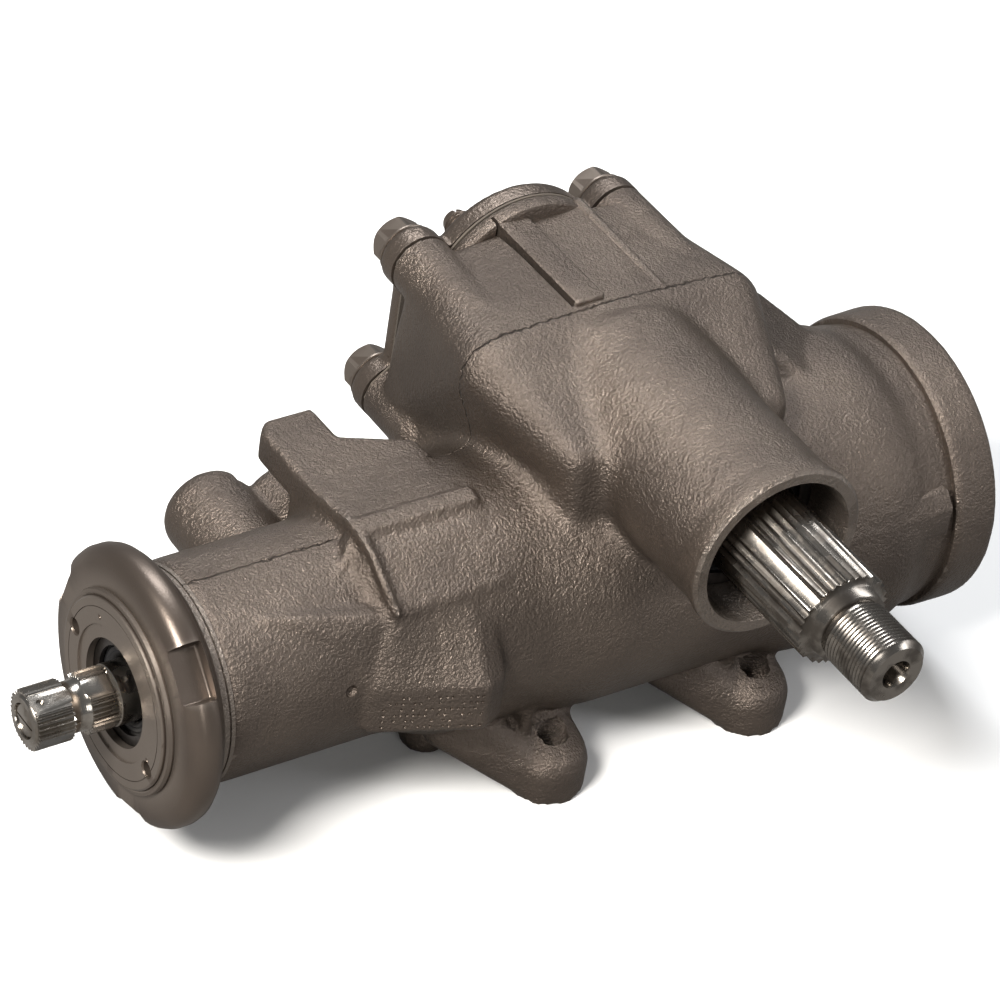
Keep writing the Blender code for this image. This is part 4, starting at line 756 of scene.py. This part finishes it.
def makeBolts():
    first = makeBolt()
    x0, z0 = casting["bolts"][0]
    for number, (x, z) in enumerate(casting["bolts"], 1):
        name = "coverBolt%d" % number
        bolt = copied(first, name, Matrix.Translation(Vector((x - x0, 0, z - z0)) / 1000))
        finished(bolt, name, "side_cover_bolt_%d" % number, "smoothPaint", 30)
    bpy.data.objects.remove(first, do_unlink=True)


adjusterLook = {"start": 59.8, "end": 107.0, "threadStart": 81.0, "threadEnd": 105.6, "radius": 4.9, "pitch": 1.25,
                "depth": 0.55, "slotFloor": 104.6, "slotHalf": 0.8, "nutCorner": 9.2, "nutHeight": 7.2, "nutBore": 5.1,
                "nutGap": 0.3}


def makeAdjuster():
    centre = (0, 0, outputHeight)
    start, end, half = adjusterLook["start"], adjusterLook["end"], adjusterLook["slotHalf"]
    crests = threadProfile(*(adjusterLook[key] for key in ("threadStart", "threadEnd", "radius", "pitch", "depth")))
    screw = turned("screw", [(start, 0), (start, 7.2), (start + 0.5, 7.8), (start + 2.2, 7.8), (start + 2.2, 4.6)]
                   + crests + [(end - 0.8, 4.1), (end, 3.6), (end, 0)], "Y", centre, 40)
    carved(screw, [block("slot", (-half, adjusterLook["slotFloor"], outputHeight - 8),
                         (half, end + 3, outputHeight + 8))])
    finished(screw, "adjusterScrew", "lash_adjuster_screw", "smoothPaint", 30)
    face = coverLook["hubEnd"] + adjusterLook["nutGap"]
    top = face + adjusterLook["nutHeight"]
    nut = hexagon("nut", adjusterLook["nutCorner"], face, top, centre)
    chamfer = turned("nutChamfer", [(face, 0), (face, 8.0), (face + 1.4, 9.6), (top - 1.4, 9.6), (top, 8.0), (top, 0)],
                     "Y", centre, 48)
    carved(nut, [chamfer], "INTERSECT")
    carved(nut, [rod("nutBore", adjusterLook["nutBore"], face - 2, top + 2.8, "Y", centre, 32)])
    finished(nut, "adjusterNut", "lash_adjuster_lock_nut", "smoothPaint", 30)


makeCover()
makeBolts()
makeAdjuster()
print("side cover made")


# Input end: lock ring, adjuster plug, seals and the serrated stub
ringLook = {"profile": [(-174.8, 30.95), (-174.8, 38.6), (-174.3, 39.8), (-173.4, 41.6), (-172.2, 42.8),
                        (-170.4, 43.5), (-167.4, 43.5), (-165.6, 42.9), (-164.2, 41.6), (-162.6, 38.4),
                        (-161.3, 37.6), (-161.3, 30.95)],
            "notches": 3, "firstNotch": math.radians(16), "notchHalf": math.radians(10.75), "notchEnd": -166.2,
            "notchRadii": (39.8, 48.0), "notchRounding": 0.9}


def makeLockRing():
    ring = turned("ring", ringLook["profile"], "X", steps=144, closed=True)
    cuts = []
    for i in range(ringLook["notches"]):
        middle = ringLook["firstNotch"] + math.tau * i / ringLook["notches"]
        angles = [middle + ringLook["notchHalf"] * step for step in (-1, -0.5, 0, 0.5, 1)]
        cuts.append(wrapped("notch", [(x, radius * math.cos(angle), radius * math.sin(angle), ringLook["notchRounding"])
                                      for angle in angles for radius in ringLook["notchRadii"]
                                      for x in (-180.0, ringLook["notchEnd"])]))
    carved(ring, cuts)
    finished(ring, "lockRing", "adjuster_lock_nut", "smoothPaint", 32)


plugLook = {"face": -177.8, "holeCircle": 25.2, "holeRadius": 2.5, "holeAngles": (16, -153), "markCircle": 23.6,
            "markRadius": 0.7, "markAngles": (62, 200)}


def makePlug():
    face = plugLook["face"]
    plug = turned("plug", [(face, 17.0), (face, 29.2), (face + 0.6, 29.8), (face + 2.6, 29.8), (face + 2.6, 30.6),
                           (-157.8, 30.6), (-157.8, 28.2), (-154.4, 28.2), (-154.4, 30.6), (-141.5, 30.6),
                           (-141.5, 10.4), (-146.0, 10.4), (-146.0, 13.5), (-160.0, 13.5), (-160.0, 16.0),
                           (face + 8.6, 16.0), (face + 8.6, 17.0), (face + 4.6, 17.0), (face + 4.6, 18.4),
                           (face + 3.0, 18.4), (face + 3.0, 17.0)], "X", steps=120, closed=True)
    cuts = []
    circle, hole = plugLook["holeCircle"], plugLook["holeRadius"]
    for angle in plugLook["holeAngles"]:
        centre = (0, circle * math.cos(math.radians(angle)), circle * math.sin(math.radians(angle)))
        cuts.append(turned("spannerHole", [(face - 2, 0), (face - 2, 3.4), (face, 2.9), (face + 0.5, hole),
                                           (face + 6, hole), (face + 7, 0)], "X", centre, 32))
    for name, outline in (("faceGroove", [(-1, 26.6), (0.35, 26.6), (0.35, 26.9), (-1, 26.9)]),
                          ("faceRecess", [(-1, 16), (-1, 21.6), (0.6, 21.2), (0.6, 16)])):
        cuts.append(turned(name, [(face + depth, radius) for depth, radius in outline], "X", steps=120, closed=True))
    circle = plugLook["markCircle"]
    for angle in plugLook["markAngles"]:
        place = at(face, circle * math.cos(math.radians(angle)), circle * math.sin(math.radians(angle)))
        bpy.ops.mesh.primitive_ico_sphere_add(subdivisions=2, radius=plugLook["markRadius"] / 1000, location=place)
        cuts.append(newPiece("pinMark"))
    carved(plug, cuts)
    bead = turned("bead", [(-176.6, 29.9), (-176.9, 30.6), (-176.7, 31.5), (-175.6, 31.9), (-174.9, 31.6),
                           (-174.9, 30.0)], "X", steps=120, closed=True)
    carved(plug, [bead], "UNION")
    finished(plug, "adjusterPlug", "adjuster_plug", "smoothPaint", 32)


sealLook = {"hoopStart": 3.2, "hoopEnd": 4.4, "hoopRadii": (13.9, 18.1), "earRadius": 2.1, "earHole": 0.75,
            "ears": (-4.6, 5.6), "earHeight": 14.0}


def makeStubSeals():
    face = plugLook["face"]
    start, end = face + sealLook["hoopStart"], face + sealLook["hoopEnd"]
    inner, outer = sealLook["hoopRadii"]
    hoop = turned("hoop", [(start, inner), (start, outer), (end, outer), (end, inner)], "X", steps=72, closed=True)
    carved(hoop, [wrapped("gap", [(x, y, z, 0.3) for x in (-176, -172)
                                  for y, z in ((-2.0, 12), (3.0, 12), (-2.8, 19), (4.2, 19))])])
    centres = [(0, y, sealLook["earHeight"]) for y in sealLook["ears"]]
    carved(hoop, [rod("ear", sealLook["earRadius"], start, end, "X", centre, 24) for centre in centres], "UNION")
    carved(hoop, [rod("earHole", sealLook["earHole"], face, face + 8, "X", centre, 16) for centre in centres])
    finished(hoop, "snapRing", "stub_seal_snap_ring", "springSteel", 30)
    lips = turned("lips", [(face + 5.0, 10.9), (face + 4.7, 11.5), (face + 5.2, 12.2), (face + 4.8, 13.0),
                           (face + 5.3, 13.8), (face + 4.9, 14.8), (face + 5.2, 16.7), (face + 8.3, 16.7),
                           (face + 8.3, 9.95), (face + 6.2, 9.95)], "X", steps=72, closed=True)
    finished(lips, "dustSeal", "stub_dust_seal", "blackRubber", 50)


def toothBar(name, ends, look, axis, centre):
    # One V tooth, drawn as a triangle and extruded, then copied round the shaft; its foot sinks in and
    # overlaps the next one
    start, end = ends
    place, turn = at(*centre), axisTurns[axis]
    foot, half = look["root"] - 0.6, 1.25 * math.pi / look["teeth"]
    corners = [turn @ (Vector((radius * math.cos(angle), radius * math.sin(angle), start)) / 1000)
               for radius, angle in ((look["tip"], 0), (foot, half), (foot, -half))]
    tooth = drawn(name, corners + corners[:1], place)
    bpy.ops.mesh.edge_face_add()
    length = turn @ (Vector((0, 0, end - start)) / 1000)
    bpy.ops.mesh.extrude_region_move(TRANSFORM_OT_translate={"value": length})
    tidyMesh(tooth)
    bars = [copied(tooth, name, turnAbout(centre, axis, math.tau * i / look["teeth"]))
            for i in range(look["teeth"]) if i not in look["blanks"]]
    bpy.data.objects.remove(tooth, do_unlink=True)
    return joined(name, bars)


stubLook = {"end": -207.2, "splineEnd": -194.4, "neckEnd": -189.0, "bandEnd": -180.2, "teeth": 36, "blanks": (),
            "root": 8.45, "tip": 9.5, "flatDepth": 8.0, "flatTurn": math.radians(17.7), "dimple": (-203.6, 1.25, 7.2),
            "lineHalf": 0.35, "barEnd": [(0.3, 0), (0.3, 4.4), (0.6, 5.0), (1.1, 5.2), (1.1, 0)]}


def makeStub():
    end, splineEnd, neckEnd, bandEnd, root = (stubLook[key] for key in
                                              ("end", "splineEnd", "neckEnd", "bandEnd", "root"))
    centre = (0, 0, 0)
    stub = turned("stub", [(end + 1.2, 0), (end + 1.2, 5.3), (end, 5.6), (end, 7.4), (end + 0.4, 7.9),
                           (end + 1.3, root), (splineEnd - 0.8, root), (splineEnd, 8.4), (splineEnd + 1.0, 7.9),
                           (neckEnd - 1.0, 7.9), (neckEnd, 8.4), (neckEnd + 0.6, root), (bandEnd, root),
                           (bandEnd + 0.8, 9.6), (-143.5, 9.6), (-141.9, 8.0), (-101.4, 8.0), (-101.4, 0)],
                  "X", steps=72)
    rows = [toothBar("inputTeeth", (end + 0.7, splineEnd - 0.2), stubLook, "X", centre),
            toothBar("bandTeeth", (neckEnd + 0.3, bandEnd + 0.3), stubLook, "X", centre)]
    carved(stub, rows, "UNION", "EXACT", True)
    turn = turnAbout(centre, "X", stubLook["flatTurn"])
    x, radius, floor = stubLook["dimple"]
    half = stubLook["lineHalf"]
    tools = [moved(block("flat", (end - 2, -12, stubLook["flatDepth"]), (bandEnd + 0.6, 12, 14)), turn),
             moved(rod("dimple", radius, floor, 12, "Z", (x, 0, 0), 24), turn),
             block("crossLine", (end - 2, -5.2, -half), (end + 0.5, 5.2, half))]
    carved(stub, tools, solver="EXACT")
    finished(stub, "stubShaft", "stub_shaft", "turnedSteelInput", 28, "stub")
    bar = turned("bar", [(end + depth, radius) for depth, radius in stubLook["barEnd"]], "X", steps=48)
    carved(bar, [block("barLine", (end - 2, -6, -half), (end + 0.7, 6, half))])
    finished(bar, "torsionBarEnd", "torsion_bar", "turnedSteelInput", 28, "stub")


makeLockRing()
makePlug()
makeStubSeals()
makeStub()
print("input end made")


# Pitman shaft: splines with blank teeth, a collar, a threaded end with its centre hole
shaftLook = {"end": -134.5, "threadEnd": -112.6, "neckEnd": -107.6, "splineEnd": -63.0, "journal": -57.5,
             "root": 14.9, "tip": 15.9, "teeth": 36, "blanks": (4, 13, 22, 31), "threadRadius": 11.1,
             "threadPitch": 1.35, "threadDepth": 0.75, "journalRadius": 17.6, "rearRadius": 15.9}


def makePitmanShaft():
    end, threadEnd, neckEnd, splineEnd, journal, root, journalRadius, rearRadius = (
        shaftLook[key] for key in ("end", "threadEnd", "neckEnd", "splineEnd", "journal", "root", "journalRadius",
                                   "rearRadius"))
    centre = (0, 0, outputHeight)
    crests = threadProfile(end + 1.4, threadEnd - 0.4, shaftLook["threadRadius"], shaftLook["threadPitch"],
                           shaftLook["threadDepth"])
    shaft = turned("shaft", [(end, 0), (end, 9.4)] + crests
                   + [(threadEnd, 10.3), (threadEnd + 0.3, 12.0), (neckEnd - 1.6, 12.6), (neckEnd - 1.2, 13.4),
                      (neckEnd, root), (splineEnd, root), (splineEnd + 2.5, 15.9), (journal - 0.5, 17.2),
                      (journal, journalRadius), (24, journalRadius), (24, rearRadius), (64, rearRadius), (64, 0)],
                   "Y", centre, 96)
    teeth = toothBar("outputTeeth", (neckEnd - 0.4, splineEnd + 3.0), shaftLook, "Y", centre)
    carved(shaft, [teeth], "UNION", "EXACT", True)
    hole = turned("centreHole", [(end - 2, 0), (end - 2, 6.2), (end, 4.9), (end + 2.2, 3.9), (end + 11, 3.7),
                                 (end + 13, 0)], "Y", centre, 40)
    carved(shaft, [hole], solver="EXACT")
    # The sector's teeth come from the CAD node, its loose triangles merged
    sector = tidyMesh(copied(frame["nodes"]["pitman_shaft"], "sectorTeeth"))
    carved(sector, [block("sectorZone", (-60, -18.1, -10), (60, 24.2, 120))], "INTERSECT", "EXACT")
    finished(joined("pitmanShaft", [shaft, sector]), "pitmanShaft", "pitman_shaft",
             "turnedSteelOutput", 28, "pitman")


def makePitmanSeal():
    start = -54.9
    seal = turned("seal", [(start, 24.5), (start, 22.4), (start + 0.5, 21.6), (start + 1.6, 21.0),
                           (start + 1.6, 19.6), (start + 0.2, 18.9), (start - 0.4, 18.2), (start + 0.3, 17.95),
                           (start + 2.9, 17.95), (start + 2.9, 24.5)], "Y", (0, 0, outputHeight), 72, closed=True)
    finished(seal, "pitmanSeal", "pitman_outer_seal", "blackRubber", 40)


makePitmanShaft()
makePitmanSeal()
print("pitman shaft made")


# The CAD nodes that keep their own shape get their finish
slotFinishes = {"painted_iron": "coverPaint", "painted_steel": "smoothPaint", "machined_steel": "turnedSteelInput",
                "hardened_steel": "groundSteel", "spring_steel": "springSteel", "bearing_steel": "bearingSteel",
                "rubber": "blackRubber", "ptfe": "sealPlastic", "brass": "turnedBrass",
                "bronze": "bearingBronze", "gasket_fibre": "gasketFibre"}
for part in frame["record"]["subparts"]:
    node = frame["nodes"][part["node"]]
    node.data.materials.clear()
    node.data.materials.append(finishes[slotFinishes[part["material_slot"]]])
print("nodes finished")


# Floor, light and camera
studio = {"floorSize": 6.0, "floorColour": (0.90, 0.90, 0.89), "bounceColour": (0.16, 0.155, 0.15),
          "floorRoughness": 0.9, "worldColour": (0.92, 0.93, 0.95), "worldStrength": 0.20, "target": (-20, 0, 25)}
# Name, place in metres, size, power and colour
lamps = [("keyLamp", (-1.0, -0.35, 1.15), (0.42, 0.42), 44.0, (1.0, 0.97, 0.93)),
         ("topLamp", (0.35, 0.75, 1.35), (0.7, 0.4), 18.0, (0.95, 0.97, 1.0)),
         ("rightLamp", (1.1, -0.75, 0.75), (0.5, 0.9), 7.0, (0.96, 0.97, 1.0)),
         ("frontLamp", (-0.35, -1.35, 0.55), (0.35, 0.5), 2.5, (1.0, 0.98, 0.95))]
cameraLook = {"place": (-704.9, -829.1, 862.5), "right": (0.8360, -0.5330, 0.1302),
              "up": (0.2491, 0.5801, 0.7756), "back": (-0.4889, -0.6160, 0.6177), "lens": 159.95, "sensor": 36.0,
              "farEnd": 20}


def makeFloor():
    bpy.ops.mesh.primitive_plane_add(size=studio["floorSize"], location=(0, 0, 0))
    floor = newPiece("studioFloor")
    # Pale to the camera and dim to the rest, so the casting's undersides stay dark
    material, tree, shader = startMaterial("floorPaper", 0.0, studio["floorRoughness"])
    path = tree.nodes.new("ShaderNodeLightPath")
    seen = path.outputs["Is Camera Ray"]
    tree.links.new(blendColours(tree, seen, studio["bounceColour"], studio["floorColour"]),
                   shader.inputs["Base Color"])
    floor.data.materials.append(material)


def makeWorld():
    world = bpy.data.worlds.new("studioWorld")
    bpy.context.scene.world = world
    world.use_nodes = True
    tree = world.node_tree
    background = tree.nodes["Background"]
    background.inputs["Color"].default_value = (*studio["worldColour"], 1)
    background.inputs["Strength"].default_value = studio["worldStrength"]
    path = tree.nodes.new("ShaderNodeLightPath")
    bright = tree.nodes.new("ShaderNodeBackground")
    mix = tree.nodes.new("ShaderNodeMixShader")
    tree.links.new(path.outputs["Is Camera Ray"], mix.inputs[0])
    tree.links.new(background.outputs[0], mix.inputs[1])
    tree.links.new(bright.outputs[0], mix.inputs[2])
    tree.links.new(mix.outputs[0], tree.nodes["World Output"].inputs["Surface"])


def makeLamps():
    target = at(*studio["target"])
    for name, place, size, power, colour in lamps:
        bpy.ops.object.light_add(type="AREA", location=place)
        lamp = bpy.context.view_layer.objects.active
        lamp.name = name
        lamp.data.shape = "RECTANGLE"
        lamp.data.size, lamp.data.size_y = size
        lamp.data.energy = power
        lamp.data.color = colour
        lamp.rotation_euler = (target - lamp.location).to_track_quat("-Z", "Y").to_euler()


def makeCamera():
    bpy.ops.object.camera_add()
    camera = bpy.context.view_layer.objects.active
    rows = Matrix((cameraLook["right"], cameraLook["up"], cameraLook["back"]))
    camera.matrix_world = Matrix.Translation(at(*cameraLook["place"])) @ rows.transposed().to_4x4()
    camera.data.lens = cameraLook["lens"]
    camera.data.sensor_width = cameraLook["sensor"]
    camera.data.clip_end = cameraLook["farEnd"]
    bpy.context.scene.camera = camera


makeFloor()
makeWorld()
makeLamps()
makeCamera()
bpy.context.scene.view_settings.view_transform = "Standard"
print("studio made")
